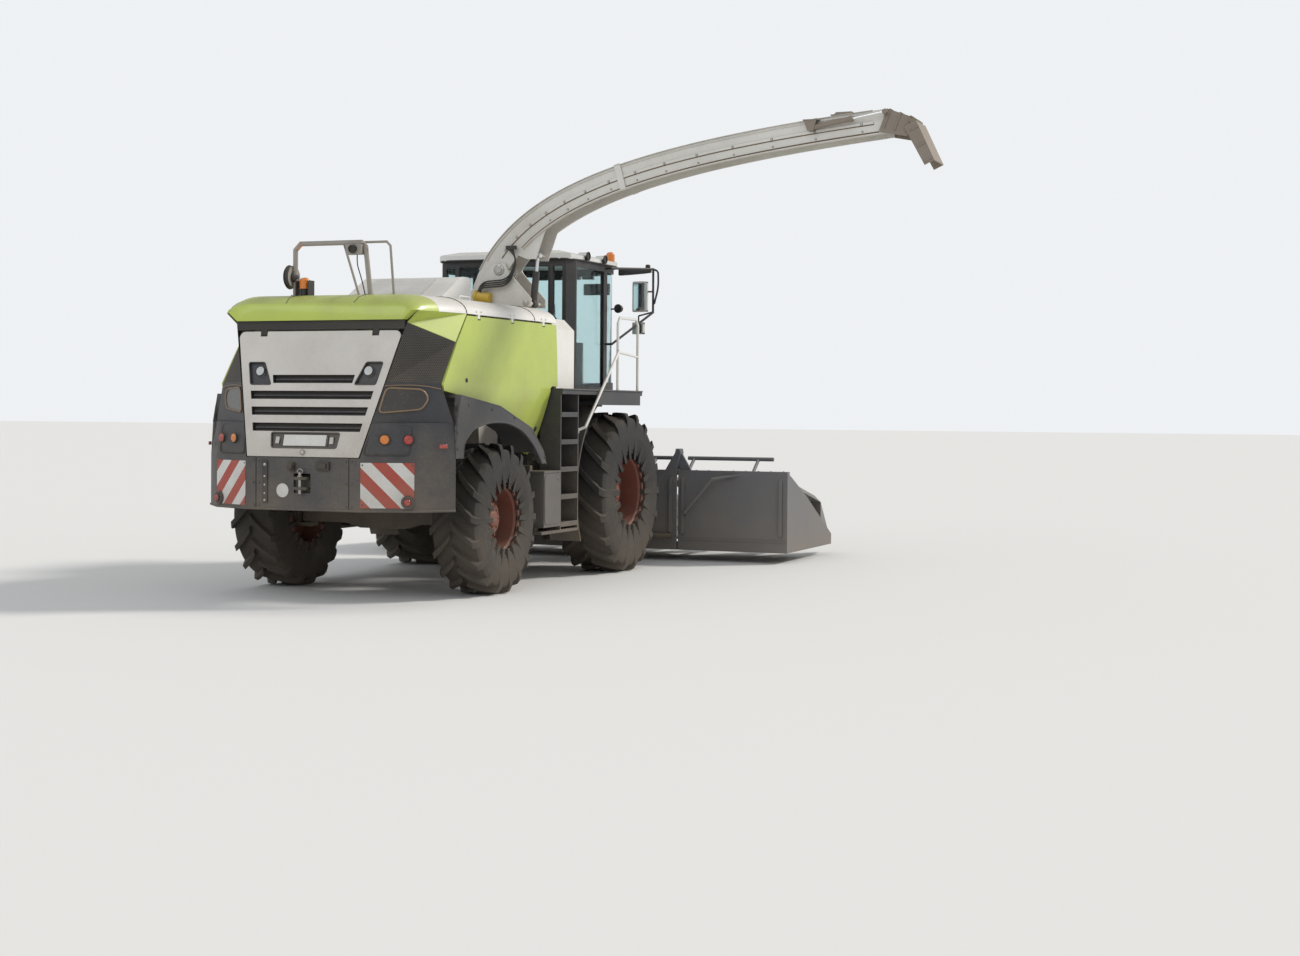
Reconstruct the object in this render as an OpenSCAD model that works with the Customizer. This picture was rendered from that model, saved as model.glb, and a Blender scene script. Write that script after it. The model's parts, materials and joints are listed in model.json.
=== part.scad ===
// Self-propelled forage harvester with a row-independent maize header.
// Vehicle frame while modelling: X forward from the front axle, Y to the left, Z up from the ground.
// place() shifts the finished machine so that the origin is the centre of its footprint.

/* [Wheels and axles] */
// distance between the axles
wheelbase = 3000; // [2900:10:3100]
// front tyre radius to the lug tips
front_r = 900; // [870:5:920]
// front tyre width
front_w = 620; // [560:10:640]
// front tyre centre from the middle of the machine
front_y = 1180; // [1160:5:1220]
// front rim radius over the flange
front_rim_r = 420; // [390:5:450]
// rear tyre radius to the lug tips
rear_r = 745; // [720:5:750]
// rear tyre width
rear_w = 500; // [460:10:520]
// rear tyre centre from the middle of the machine
rear_y = 1120; // [1110:5:1150]
// rear rim radius over the flange
rear_rim_r = 345; // [320:5:370]
// height of the tread lugs
lug_h = 42; // [30:1:50]
// lugs in one row of a tyre
lug_count = 18; // [14:1:20]
// kingpin distance from the middle of the machine
kingpin_y = 880; // [870:5:890]

/* [Frame] */
// middle of a frame rail
rail_y = 350; // [320:5:380]
// rail width
rail_w = 90; // [70:5:110]
// rail depth
rail_h = 180; // [140:5:200]
// underside of the rails
rail_z = 1000; // [980:5:1020]
// half width of the chopper housing under the cab
belly_w = 600; // [560:10:640]
// floor of the chopper housing above the ground
belly_z = 480; // [440:10:520]

/* [Hood] */
// half width of the hood over its side panels
hood_w = 1200; // [1180:5:1220]
// height of the seam between side panels and deck
hood_z = 2740; // [2700:10:2780]
// height of the raised middle of the deck
deck_z = 3180; // [3100:10:3200]
// thickness of hood panels
skin = 30; // [20:1:36]
// height at which the side panels are widest
crease_z = 2010; // [1980:5:2060]
// how far the side panels stand out there
bulge_y = 22; // [10:1:30]
// how far their feet lean in
lean_y = 240; // [180:5:260]
// rear face of the grille at its foot
tail_x = 4560; // [4520:10:4600]
// half width of rear fenders and bumper ends
fender_w = 1350; // [1330:5:1370]
// underside of the bumper
bumper_z = 870; // [840:5:900]
// seam between bumper and body
tail_z = 1360; // [1340:5:1380]
// slots in the grille panel
grille_slots = 4; // [3:1:5]
// gap round a side panel
panel_gap = 8; // [6:1:12]

/* [Cab] */
// half width of the cab
cab_w = 850; // [820:5:870]
// rear wall of the cab behind the front axle
cab_rear = 300; // [280:5:330]
// middle of the windscreen ahead of the front axle
cab_front = 1400; // [1360:5:1420]
// floor of the cab
cab_z = 2050; // [2030:5:2070]
// top of the cab walls
cab_top = 3530; // [3500:10:3560]
// cab wall thickness
cab_wall = 50; // [40:1:60]
// roof height over the walls
roof_h = 110; // [100:5:130]

/* [Spout] */
// turntable behind the front axle
turn_x = 1200; // [1180:5:1240]
// top of the turntable ring
turn_z = 2960; // [2940:5:3000]
// radius of the turntable ring
turn_r = 300; // [280:5:320]
// width of the spout channel
spout_w = 330; // [300:5:340]
// depth of the spout channel
spout_d = 270; // [240:5:290]
// reach of the arm from the turntable to its end
spout_reach = 4730; // [4500:10:4800]
// height of the spout top at its end
spout_top = 4850; // [4750:10:4900]
// wall of the spout channel
spout_wall = 14; // [10:1:18]

/* [Header] */
// rear wall of the header ahead of the front axle
head_x = 1700; // [1680:5:1720]
// distance between rotor centres
rotor_pitch = 1390; // [1350:10:1430]
// rotor radius to the tips of its knives
rotor_r = 670; // [640:5:675]
// height of the knife disc
rotor_z = 240; // [230:5:260]
// gathering discs on a rotor
rotor_discs = 3; // [2:1:4]
// pockets round a gathering disc
pockets = 12; // [10:1:16]
// top of the header's rear wall
wall_top = 1040; // [1000:10:1060]
// height of the fold hinges of the wings
fold_z = 1330; // [1320:5:1350]
// height of the push bar
bar_z = 1240; // [1220:5:1250]
// reach of the crop dividers ahead of the rotors
divider_l = 780; // [650:10:850]

/* [Hidden] */
$fn = 48;

// colours
PALE = [0.84, 0.83, 0.79];
GREEN = [0.66, 0.74, 0.16];
WHITE = [0.90, 0.89, 0.85];
DARK = [0.27, 0.27, 0.28];
BLACK = [0.10, 0.10, 0.11];
GREY = [0.55, 0.56, 0.56];
RED = [0.62, 0.22, 0.14];
STEEL = [0.62, 0.62, 0.60];

// the placed footprint: the spout reaches out to the right, the header ahead
end_right = spout_reach + 512;
wing_y = 2 * rotor_pitch + 10;
rotor_x = head_x + 750;
tip_x = rotor_x + rotor_r + divider_l;
jaw_l = 75;
place_x = (tail_x + jaw_l - tip_x) / 2;
place_y = (end_right - wing_y) / 2;

module place() { translate([place_x, place_y, 0]) children(); }

// shared forms
module both() {
  children();
  mirror([0, 1, 0]) children();
}
// a sheet of outline [x, z] from y - t to y
module xz(y, t) { translate([0, y, 0]) rotate([90, 0, 0]) linear_extrude(t) children(); }
// a sheet of outline [y, z] from x to x + t
module yz(x, t) { translate([x, 0, 0]) rotate([90, 0, 90]) linear_extrude(t) children(); }
// a box between two corners
module span(a, b) { translate(a) cube(b - a); }
// a rod between two points
module rod(a, b, r, n = 16) {
  d = b - a;
  l = norm(d);
  translate(a) rotate([0, acos(d[2] / l), atan2(d[1], d[0])]) cylinder(h = l, r = r, $fn = n);
}
// a bent tube through points, each straight run past its knee by a little
module tube(pts, r, n = 12) {
  for (i = [0 : len(pts) - 2]) {
    d = (pts[i + 1] - pts[i]) / norm(pts[i + 1] - pts[i]);
    rod(pts[i] - (i > 0 ? 0.35 : 0) * r * d, pts[i + 1] + (i < len(pts) - 2 ? 0.35 : 0) * r * d, r, n);
  }
}
// a body between two outlines with as many corners, closed with triangles
module skin_between(p, q) {
  n = len(p);
  d = q[0] - p[0];
  turn = cross(p[1] - p[0], p[n - 1] - p[0]) * d > 0;
  a = turn ? p : [for (i = [n - 1 : -1 : 0]) p[i]];
  b = turn ? q : [for (i = [n - 1 : -1 : 0]) q[i]];
  polyhedron(points = concat(a, b),
    faces = concat([for (i = [1 : n - 2]) [0, i, i + 1]], [for (i = [1 : n - 2]) [n, n + i + 1, n + i]],
      [for (i = [0 : n - 1]) [i, n + i, (i + 1) % n]], [for (i = [0 : n - 1])
        [(i + 1) % n, n + i, n + (i + 1) % n]]));
}
// a point a share t of the way from a to b
function mix(a, b, t) = a + t * (b - a);

// wheels
bead = 34;

module tyre(r, w, rim_r) {
  carcass = r - lug_h;
  half = w / 2;
  seat = rim_r - bead;
  rotate([-90, 0, 0]) rotate_extrude($fn = 64) polygon([[seat, -half * 0.82], [rim_r, -half * 0.82],
    [rim_r + 14, -half * 0.93], [rim_r + (carcass - rim_r) * 0.55, -half], [carcass - 60, -half * 0.96],
    [carcass, -half * 0.8], [carcass, half * 0.8], [carcass - 60, half * 0.96],
    [rim_r + (carcass - rim_r) * 0.55, half], [rim_r + 14, half * 0.93], [rim_r, half * 0.82],
    [seat, half * 0.82]]);
  // chevron lugs: each row leads from the middle and trails to the shoulder
  lead = 0.15 * r;
  thick = 0.05 * r;
  reach = half * 0.96;
  sunk = 62;
  tall = sqrt(pow(r, 2) - pow(lead + thick, 2)) - carcass + sunk;
  for (side = [-1, 1], i = [0 : lug_count - 1])
    rotate([0, (i + (side > 0 ? 0.5 : 0)) * 360 / lug_count, 0])
      translate([0, 0, carcass - sunk]) linear_extrude(tall) polygon([[lead - thick, -side * 18],
        [lead + thick, -side * 18], [thick * 1.3 - lead, side * reach], [-thick * 1.3 - lead, side * reach]]);
}

module rim(r, w) {
  half = w / 2 * 0.82;
  seat = r - bead;
  // barrel with flanges, disc set in, hub with a bore for the spindle
  rotate([-90, 0, 0]) rotate_extrude($fn = 64) polygon([[spindle_r + 0.3, -40], [150, -40], [150, 0],
    [seat * 0.72, 10], [seat - 16, -30], [seat - 16, -half - 14], [r, -half - 14], [r, -half], [seat, -half],
    [seat, half], [r, half], [r, half + 14], [r - 20, half + 14], [seat - 16, half - 30], [seat - 16, 10],
    [seat * 0.72, 36], [165, 36], [150, 90], [0, 90], [0, 60], [spindle_r + 0.3, 60]]);
  // wheel nuts
  for (i = [0 : 9]) rotate([0, i * 36, 0]) translate([0, 30, 205]) rotate([-90, 0, 0])
    cylinder(h = 26, r = 14, $fn = 6);
}

spindle_r = 70;

module at_front(s) { translate([0, s * front_y, front_r]) mirror([0, s < 0 ? 1 : 0, 0]) children(); }
module at_rear(s) { translate([-wheelbase, s * rear_y, rear_r]) mirror([0, s < 0 ? 1 : 0, 0]) children(); }

module tyre_front(s) { color(BLACK) place() at_front(s) tyre(front_r, front_w, front_rim_r); }
module rim_front(s) { color(RED) place() at_front(s) rim(front_rim_r, front_w); }
module tyre_rear(s) { color(BLACK) place() at_rear(s) tyre(rear_r, rear_w, rear_rim_r); }
module rim_rear(s) { color(RED) place() at_rear(s) rim(rear_rim_r, rear_w); }

module tyre_front_right() { tyre_front(-1); }
module tyre_front_left() { tyre_front(1); }
module tyre_rear_right() { tyre_rear(-1); }
module tyre_rear_left() { tyre_rear(1); }
module rim_front_right() { rim_front(-1); }
module rim_front_left() { rim_front(1); }
module rim_rear_right() { rim_rear(-1); }
module rim_rear_left() { rim_rear(1); }

// steering knuckle: a forked kingpin block with the spindle of the rear wheel
knuckle_h = 130;
axle_h = 82;
module knuckle(s) {
  color(DARK) place() translate([-wheelbase, 0, rear_r]) mirror([0, s < 0 ? 1 : 0, 0]) {
    difference() {
      span([-75, kingpin_y - 60, -knuckle_h], [75, kingpin_y + 115, knuckle_h]);
      span([-90, kingpin_y - 90, -axle_h - 8], [90, kingpin_y + 85, axle_h + 8]);
      translate([0, kingpin_y, -knuckle_h - 1]) cylinder(h = 2 * knuckle_h + 2, r = 30.3);
    }
    // spindle and its shoulder
    translate([0, kingpin_y + 115, 0]) rotate([-90, 0, 0]) cylinder(h = rear_y - 45 - kingpin_y - 115,
      r = 100);
    translate([0, kingpin_y + 115, 0]) rotate([-90, 0, 0]) cylinder(h = rear_y + 55 - kingpin_y - 115,
      r = spindle_r);
  }
}
module knuckle_right() { knuckle(-1); }
module knuckle_left() { knuckle(1); }

// chassis
axle_box_h = 260;
tow_bore_r = 16;

module frame() {
  color(DARK) place() {
    both() span([-tail_x + 260, rail_y - rail_w / 2, rail_z], [-900, rail_y + rail_w / 2, rail_z + rail_h]);
    for (x = [-tail_x + 260, -wheelbase - 60, -2000])
      span([x, -rail_y + rail_w / 2, rail_z + 10], [x + 120, rail_y - rail_w / 2, rail_z + rail_h - 10]);
    span([-turn_x - 120, -rail_y + rail_w / 2, rail_z + 10], [-turn_x + 200, rail_y - rail_w / 2,
      rail_z + rail_h]);
    // bumper carrier, with the tow coupling through the bumper
    span([-tail_x + skin, -rail_y - 80, rail_z - 60], [-tail_x + 260, rail_y + 80, rail_z + rail_h]);
    for (z = [1060, 1155]) difference() {
      translate([0, 0, z]) linear_extrude(25) polygon([[-tail_x + skin, -70], [-tail_x + skin, 70],
        [-tail_x - 40, 70],
        [-tail_x - jaw_l, 35], [-tail_x - jaw_l, -35], [-tail_x - 40, -70]]);
      translate([-tail_x - 36, 0, z - 1]) cylinder(h = 27, r = tow_bore_r);
    }
    // hoops that carry the hood deck, inside its leaning sides
    for (h = [[-4180, screen_y - 90], [-1990, hood_w - 300]]) {
      bar = h[0] < -wheelbase ? h[1] + 30 : fender_w - 210;
      span([h[0], -bar, rail_z + rail_h], [h[0] + 60, bar, rail_z + rail_h + 60]);
      both() span([h[0], h[1] - 30, rail_z + rail_h + 60], [h[0] + 60, h[1] + 30, hood_z]);
    }
  }
}

module front_axle() {
  color(DARK) place() both() {
    // final drive bolted to the chopper housing, spindle through the hub
    span([-150, belly_w, front_r - axle_box_h], [150, belly_w + 130, front_r + axle_box_h * 0.6]);
    translate([0, belly_w + 130, front_r]) rotate([-90, 0, 0])
      cylinder(h = front_y - 45 - belly_w - 130, r = 130);
    translate([0, belly_w + 130, front_r]) rotate([-90, 0, 0])
      cylinder(h = front_y + 55 - belly_w - 130, r = spindle_r);
  }
}

module rear_axle() {
  color(DARK) place() translate([-wheelbase, 0, 0]) {
    difference() {
      yz(-55, 110) polygon([[-kingpin_y - 45, rear_r - axle_h], [-420, rear_r - axle_h], [-250, rear_r - 130],
        [250, rear_r - 130], [420, rear_r - axle_h], [kingpin_y + 45, rear_r - axle_h],
        [kingpin_y + 45, rear_r + axle_h], [420, rear_r + axle_h], [250, rear_r + 160], [-250, rear_r + 160],
        [-420, rear_r + axle_h], [-kingpin_y - 45, rear_r + axle_h]]);
      both() translate([0, kingpin_y, rear_r - 200]) cylinder(h = 400, r = 30);
    }
    both() translate([0, kingpin_y, rear_r - knuckle_h - 8]) cylinder(h = 2 * knuckle_h + 16, r = 30);
    // pendulum bearing under the rails
    both() span([-130, 150, rear_r + 100], [130, rail_y + rail_w / 2, rail_z]);
  }
}

module engine_block() {
  color(GREY) place() {
    span([-3450, -rail_y - rail_w / 2, rail_z + rail_h], [-2250, rail_y + rail_w / 2, 2150]);
    // radiator pack behind the grille, on its own feet
    span([-tail_x + 480, -560, rail_z + rail_h + 60], [-tail_x + 680, 560, 2480]);
    both() span([-tail_x + 480, rail_y - 40, rail_z + rail_h], [-tail_x + 680, rail_y + 40,
      rail_z + rail_h + 60]);
  }
}

belly_top = 1500;
belly_front = 540;
module belly() {
  color(DARK) place() {
    xz(belly_w, 2 * belly_w) polygon([[-900, 760], [-560, belly_z], [260, belly_z], [belly_front, 700],
      [belly_front, belly_top], [-900, belly_top]]);
    // ears and pins for the feed housing
    both() xz(470, 40) polygon([[belly_front, pivot_z - 130], [pivot_x, pivot_z - 130],
      [pivot_x + 80, pivot_z - 70],
      [pivot_x + 80, pivot_z + 70], [pivot_x, pivot_z + 130], [belly_front, pivot_z + 130]]);
    both() translate([pivot_x, feed_w + 3, pivot_z]) rotate([-90, 0, 0])
      cylinder(h = 480 - feed_w - 3, r = 35);
    // ears and pins for the lift cylinders
    both() difference() {
      xz(lift_y + 80, 160) polygon([[lift_base_x - 90, belly_z], [lift_base_x - 40, belly_z - 160],
        [lift_base_x + 40, belly_z - 160], [lift_base_x + 90, belly_z]]);
      span([lift_base_x - 120, lift_y - 50, belly_z - 240], [lift_base_x + 120, lift_y + 50, belly_z]);
    }
    both() translate([lift_base_x, lift_y - 78, lift_base_z]) rotate([-90, 0, 0]) cylinder(h = 156, r = 20);
    // cab mounts, the outer ones with outriggers under the platforms
    both() for (x = [-520, -160, 380]) {
      span([x, belly_w - 140, belly_top], [x + 120, belly_w, cab_z - 60]);
      if (x != -160) span([x, belly_w, cab_z - 130], [x + 120, fender_w - 20, cab_z - 60]);
    }
    xz(belly_w - 140, 2 * belly_w - 280) polygon([[-420, belly_top], [380, belly_top], [250, 1820],
      [-300, 1820]]);
  }
}

pivot_x = 750;
pivot_z = 1250;
feed_w = 360;
lift_y = 440;
lift_base_x = 60;
lift_base_z = belly_z - 110;
lift_eye_x = 1180;
lift_eye_z = 560;

module duct() {
  color(PALE) place() translate([-turn_x, 0, 0]) {
    // discharge duct from the chopper housing up to the turntable
    xz(230, 460) polygon([[-120, rail_z + rail_h], [300, rail_z + rail_h], [300, 1700], [230, turn_z - 180],
      [-230, turn_z - 180], [-200, 1900]]);
    translate([0, 0, turn_z - 180]) cylinder(h = 100, r = turn_r + 40);
    translate([0, 0, turn_z - 80]) cylinder(h = 40, r = turn_r - 60);
  }
}

// rear body
corner_x = 4350;
corner_y = 1085;
wrap_x = 4060;

module bumper() {
  color(DARK) place() {
    difference() {
      both() translate([0, 0, bumper_z]) linear_extrude(tail_z - bumper_z) polygon([[-wrap_x, fender_w],
        [-corner_x, corner_y], [-tail_x, 610], [-tail_x, -5], [-tail_x + skin, -5], [-tail_x + skin, 600],
        [-corner_x + skin, corner_y - 16], [-wrap_x + 25, fender_w - 26]]);
      // opening for the tow coupling, and the seams of the middle panel
      span([-tail_x - 10, -90, 1030], [-tail_x + skin + 10, 90, 1210]);
      both() span([-tail_x - 10, 496, bumper_z - 1], [-tail_x + 8, 508, tail_z + 1]);
    }
    // marker lamps in round pods at the lower corners
    both() translate([-corner_x - 29, corner_y - 65, bumper_z + 88]) rotate([0, -90, bevel_turn]) {
      translate([0, 0, -15]) cylinder(h = 45, r = 58);
      cylinder(h = 38, r = 34);
    }
  }
}
bevel_turn = -24;

// corner of the body from the lamp pods up to the deck: [x, y, z] beside the grille and along the side
screen_y = 930;
body_a = [[-tail_x + 80, 693, 1690], [-tail_x + 173, 787, 2070], [-4250, screen_y, 2630],
  [-4250, hood_w - 150, hood_z]];
body_b = [[-4030, fender_w - 40, 1690], [-4080, hood_w, 2060], [-3790, hood_w, 2460],
  [-3560, hood_w, hood_z]];
corner_t = 40;
module corner_skin(i) {
  skin_between([body_a[i], body_b[i], body_b[i + 1], body_a[i + 1]],
    [body_a[i] + [corner_t, 0, 0], body_b[i] - [0, corner_t, 0], body_b[i + 1] - [0, corner_t, 0],
      body_a[i + 1] + [corner_t, 0, 0]]);
}

// lamp pods over the bumper: outlines at their foot and at their top
pod_low = [[-tail_x + 2, 615, tail_z], [-tail_x + 100, 615, tail_z], [-corner_x + 80, corner_y - 30, tail_z],
  [-corner_x, corner_y, tail_z]];
pod_high = [[-tail_x + 80, 693, 1690], [-tail_x + 140, 693, 1690], [-corner_x + 130, corner_y - 30, 1690],
  [-corner_x + 50, corner_y - 10, 1690]];
module tail_lamps() {
  color(DARK) place() both() {
    skin_between(pod_low, pod_high);
    // sheet round the corner of the body to the fender
    skin_between([[-corner_x, corner_y, tail_z], [-wrap_x - 2, fender_w - 2, tail_z],
      [-wrap_x + 28, fender_w - 40, 1690],
      [-corner_x + 50, corner_y - 10, 1690]], [[-corner_x + 40, corner_y - 25, tail_z],
        [-wrap_x - 2, fender_w - 42, tail_z],
      [-wrap_x + 28, fender_w - 80, 1690], [-corner_x + 90, corner_y - 35, 1690]]);
    for (l = [[-tail_x + 112, 813], [-tail_x + 202, 1012]])
      translate([l[0], l[1], tail_z + 176]) rotate([0, -90, bevel_turn]) translate([0, 0, -50])
        cylinder(h = 58, r = 48);
  }
}

module rear_fenders() {
  color(DARK) place() both() {
    // fender skin with its arch
    xz(fender_w, 60) polygon([[-wrap_x, tail_z], [-3905, tail_z], [-3890, 1500], [-3700, 1640], [-3350, 1700],
      [-2950, 1700], [-2600, 1620], [-2330, 1470], [-2120, 1270], [-2040, 1270], [-2100, 1400],
      [-2390, 1640], [-3120, 1860], [-3960, 1960], [-4030, 1690]]);
    // top of the fender in under the leaning side panel
    xz(fender_w - 60, fender_w - 60 - hood_w + lean_y + 20) polygon([[-3960, 1930], [-3960, 1960],
      [-3120, 1860],
      [-2390, 1640], [-2120, 1420], [-2120, 1380], [-2400, 1600], [-3130, 1820]]);
    corner_skin(0);
  }
}

// the grille door leans forward from its foot; its hinge pins sit in its own thickness under the head
head_x_tail = 4262;
door_head_z = 2555;
door_foot_z = tail_z + 8;
door_t = 36;
door_l = norm([tail_x - head_x_tail, door_head_z - door_foot_z]);
door_tilt = atan2(tail_x - head_x_tail, door_head_z - door_foot_z);
grille_pin_x = -tail_x + door_t / 2 * cos(door_tilt) + (door_l - 20) * sin(door_tilt);
grille_pin_z = door_foot_z - door_t / 2 * sin(door_tilt) + (door_l - 20) * cos(door_tilt);
lip_z = 2655;

module corner_screens() {
  color(BLACK) place() {
    both() corner_skin(1);
    // screen over the grille door, with the lugs and pins of its hinges
    span([-head_x_tail, -915, floor(grille_pin_z) + 36], [-head_x_tail + skin, 915, lip_z]);
    both() {
      span([grille_pin_x - 14, 580, grille_pin_z - 14], [grille_pin_x + 14, 640, grille_pin_z + 60]);
      translate([grille_pin_x, 540, grille_pin_z]) rotate([-90, 0, 0]) cylinder(h = 140, r = 8);
    }
  }
}

// crowned cross-section of the deck for half width w and rise h, and the same at a place along the machine
crown_w = 300;
crown_h = 165;
function crown(w, h, d = 0) = [for (a = [0 : 15 : 90]) [w - crown_w + (crown_w - d) * cos(a),
  hood_z + (h - d) * sin(a)]];
function sym(p) = concat(p, [for (i = [len(p) - 1 : -1 : 0]) [-p[i][0], p[i][1]]]);
function deck_at(x, w, h) = [for (q = sym(crown(w, h))) [x, q[0], q[1]]];
// stations of the tapering tail, each [x, half width, rise]
tail_stations = [[-3560, hood_w, crown_h], [-3960, hood_w - 87, crown_h], [-4080, hood_w - 113, crown_h],
  [-4190, hood_w - 140, crown_h * 0.82], [-4260, hood_w - 165, crown_h * 0.5],
    [-4290, hood_w - 200, crown_h * 0.1]];
module tail_piece(i) {
  a = tail_stations[i];
  b = tail_stations[i + 1];
  skin_between(deck_at(a[0], a[1], a[2]), deck_at(b[0], b[1], b[2]));
}

module tail_cowl() {
  color(GREEN) place() {
    for (i = [1 : len(tail_stations) - 2]) tail_piece(i);
    // lip down to the screen over the grille
    skin_between([[-4290, -905, lip_z], [-4290, 905, lip_z], [-4235, 930, lip_z], [-4235, -930, lip_z]],
      [[-4290, -hood_w + 200, hood_z], [-4290, hood_w - 200, hood_z], [-4235, hood_w - 160, hood_z],
        [-4235, -hood_w + 160, hood_z]]);
    both() corner_skin(2);
  }
}

// hinge of a side panel, in the panel's own thickness under the deck
panel_pin_y = hood_w - skin / 2;
panel_pin_z = hood_z - 28;
panel_pins = [-3300, -2550, -1800];

cover_x = -1475;
module hood_deck() {
  color(WHITE) place() {
    tail_piece(0);
    difference() {
      union() {
        yz(-3560, 3560 + cover_x) polygon(sym(crown(hood_w, crown_h)));
        // cover between hood and cab
        yz(cover_x, -1010 - cover_x) polygon(sym([[hood_w, cab_z], [hood_w, hood_z - 60],
          [hood_w - 120, hood_z + 60]]));
      }
      // hollow between two ribs that rest on the hoops
      yz(-3480, 1470) polygon(sym(concat([[hood_w - 45, hood_z - 1]], crown(hood_w, crown_h, 45))));
      yz(cover_x + 20, 500) polygon(sym([[hood_w - skin, cab_z - 1], [hood_w - skin, hood_z - 75],
        [hood_w - 130, hood_z + 30]]));
      yz(cover_x - 1, 22) square([2 * hood_w - 2 * skin, 2 * (hood_z - 80)], center = true);
      translate([-turn_x, 0, 2700]) cylinder(h = 300, r = turn_r + 65);
    }
    both() for (x = panel_pins) {
      span([x - 25, panel_pin_y - 14, panel_pin_z - 12], [x + 25, panel_pin_y + 14, hood_z]);
      translate([x - 70, panel_pin_y, panel_pin_z]) rotate([0, 90, 0]) cylinder(h = 140, r = 8);
    }
    // raised air box behind the turntable
    xz(560, 1120) polygon([[-2950, hood_z + crown_h], [-2450, deck_z], [-2230, deck_z],
      [-2200, hood_z + crown_h]]);
  }
}

module roof_guard() {
  deck = hood_z + crown_h;
  foot = deck + 6;
  color(DARK) place() translate([-4005, 0, 0]) {
    // two bent tubes on round foot plates
    tube([[0, 430, foot], [0, 430, 3350], [0, 370, 3410], [0, -300, 3410], [0, -345, 3370],
      [0, -400, foot]], 24);
    tube([[60, -240, foot], [60, -70, 3415], [60, -540, 3415], [60, -580, 3375], [60, -620, foot]], 12);
    for (p = [[0, 430], [0, -400], [60, -240], [60, -620]]) translate([p[0], p[1], deck])
      cylinder(h = 8, r = 46);
    // camera box, round dish, and a beacon between two guard plates
    span([-70, -330, 3290], [10, -170, 3400]);
    translate([0, 446, 3090]) rotate([-90, 0, 0]) cylinder(h = 40, r = 110);
    translate([0, 325, deck]) cylinder(h = 70, r = 38);
    translate([0, 325, deck + 70]) cylinder(h = 75, r = 52);
    for (y = [252, 388]) span([-55, y, deck], [55, y + 10, deck + 150]);
  }
}

// panels that open
// outer face of a side panel at a height: widest at the crease, curving in to the hinge line, leaning in to the foot
panel_foot = 1340;
panel_top = panel_pin_z + 11;
function bulge(z) = hood_w + bulge_y - (z > crease_z ? bulge_y * pow((z - crease_z)
  / (panel_top - crease_z), 2)
  : let (t = (crease_z - z) / (crease_z - panel_foot)) lean_y * (0.75 * t + 0.25 * t * t));
heights = concat([for (i = [0 : 5]) mix(panel_foot, crease_z, i / 5)],
  [for (i = [1 : 8]) mix(crease_z, panel_top, i / 8)]);
module side_panel(s) {
  color(GREEN) place() mirror([0, s < 0 ? 1 : 0, 0]) difference() {
    intersection() {
      xz(hood_w + 100, 500) polygon([[-3560 + panel_gap, panel_top], [-3790 + panel_gap, 2460],
        [-4080 + panel_gap, 2060],
        [-4050, 1995], [-3120, 1880], [-2390, 1665], [-1960, 1400], [-1720, 1350], [-1665, 1480],
        [-1665, 2050], [-1620, cab_z + 20], [cover_x - 10, cab_z + 20], [cover_x - 10, panel_top]]);
      yz(-4200, 3000) polygon(concat([for (z = heights) [bulge(z), z]],
        [for (i = [len(heights) - 1 : -1 : 0]) [bulge(heights[i]) - skin, heights[i]]]));
    }
    for (x = panel_pins) {
      span([x - 32, hood_w - skin - 5, panel_pin_z - 24], [x + 32, hood_w + 15, hood_z]);
      translate([x - 75, panel_pin_y, panel_pin_z]) rotate([0, 90, 0]) cylinder(h = 150, r = 8.3);
    }
  }
}
module side_panel_right() { side_panel(-1); }
module side_panel_left() { side_panel(1); }

// places drawn on the door: y across, z up the slope from the foot, x into the machine
module on_door() { translate([-tail_x, 0, door_foot_z]) rotate([0, door_tilt, 0]) children(); }
foot_w = 603;
head_w = 895;
slot_h = 80;
slot_step = 156;
module grille_door() {
  color(PALE) place() difference() {
    on_door() {
      difference() {
        yz(0, door_t) polygon(sym(concat([[foot_w, 0]],
          [for (a = [0 : 22.5 : 90]) [head_w - 75 + 60 * cos(a), door_l - 60 + 60 * sin(a)]])));
        // slots, the top one between the lamps, the others narrower towards the foot
        for (i = [0 : grille_slots - 1]) {
          w = i == 0 ? 430 : 685 - 35 * i;
          z = 713 - slot_step * i;
          yz(-1, door_t + 2) polygon(sym([[w, z], [w + 18, z + slot_h]]));
        }
        // pockets of the lamps and of the plate
        both() yz(-1, 23) polygon([[455, 699], [680, 699], [730, 916], [555, 916]]);
        yz(-1, 15) polygon(sym([[350, 85], [370, 232]]));
      }
      both() translate([-4, 590, 830]) rotate([0, 90, 0]) cylinder(h = 30, r = 46);
      // blank plate between two small lamps, and the lock
      span([4, -230, 106], [18, 230, 212]);
      both() span([-4, 272, 125], [18, 312, 190]);
      translate([-8, 0, 40]) rotate([0, 90, 0]) cylinder(h = 20, r = 18);
    }
    both() {
      span([grille_pin_x - 60, 572, grille_pin_z - 24], [grille_pin_x + 60, 648, 2700]);
      translate([grille_pin_x, 530, grille_pin_z]) rotate([-90, 0, 0]) cylinder(h = 160, r = 8.3);
    }
  }
}

// platform and rails
step_x0 = -1640;
step_x1 = -1190;
step_gap = 290;

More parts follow.
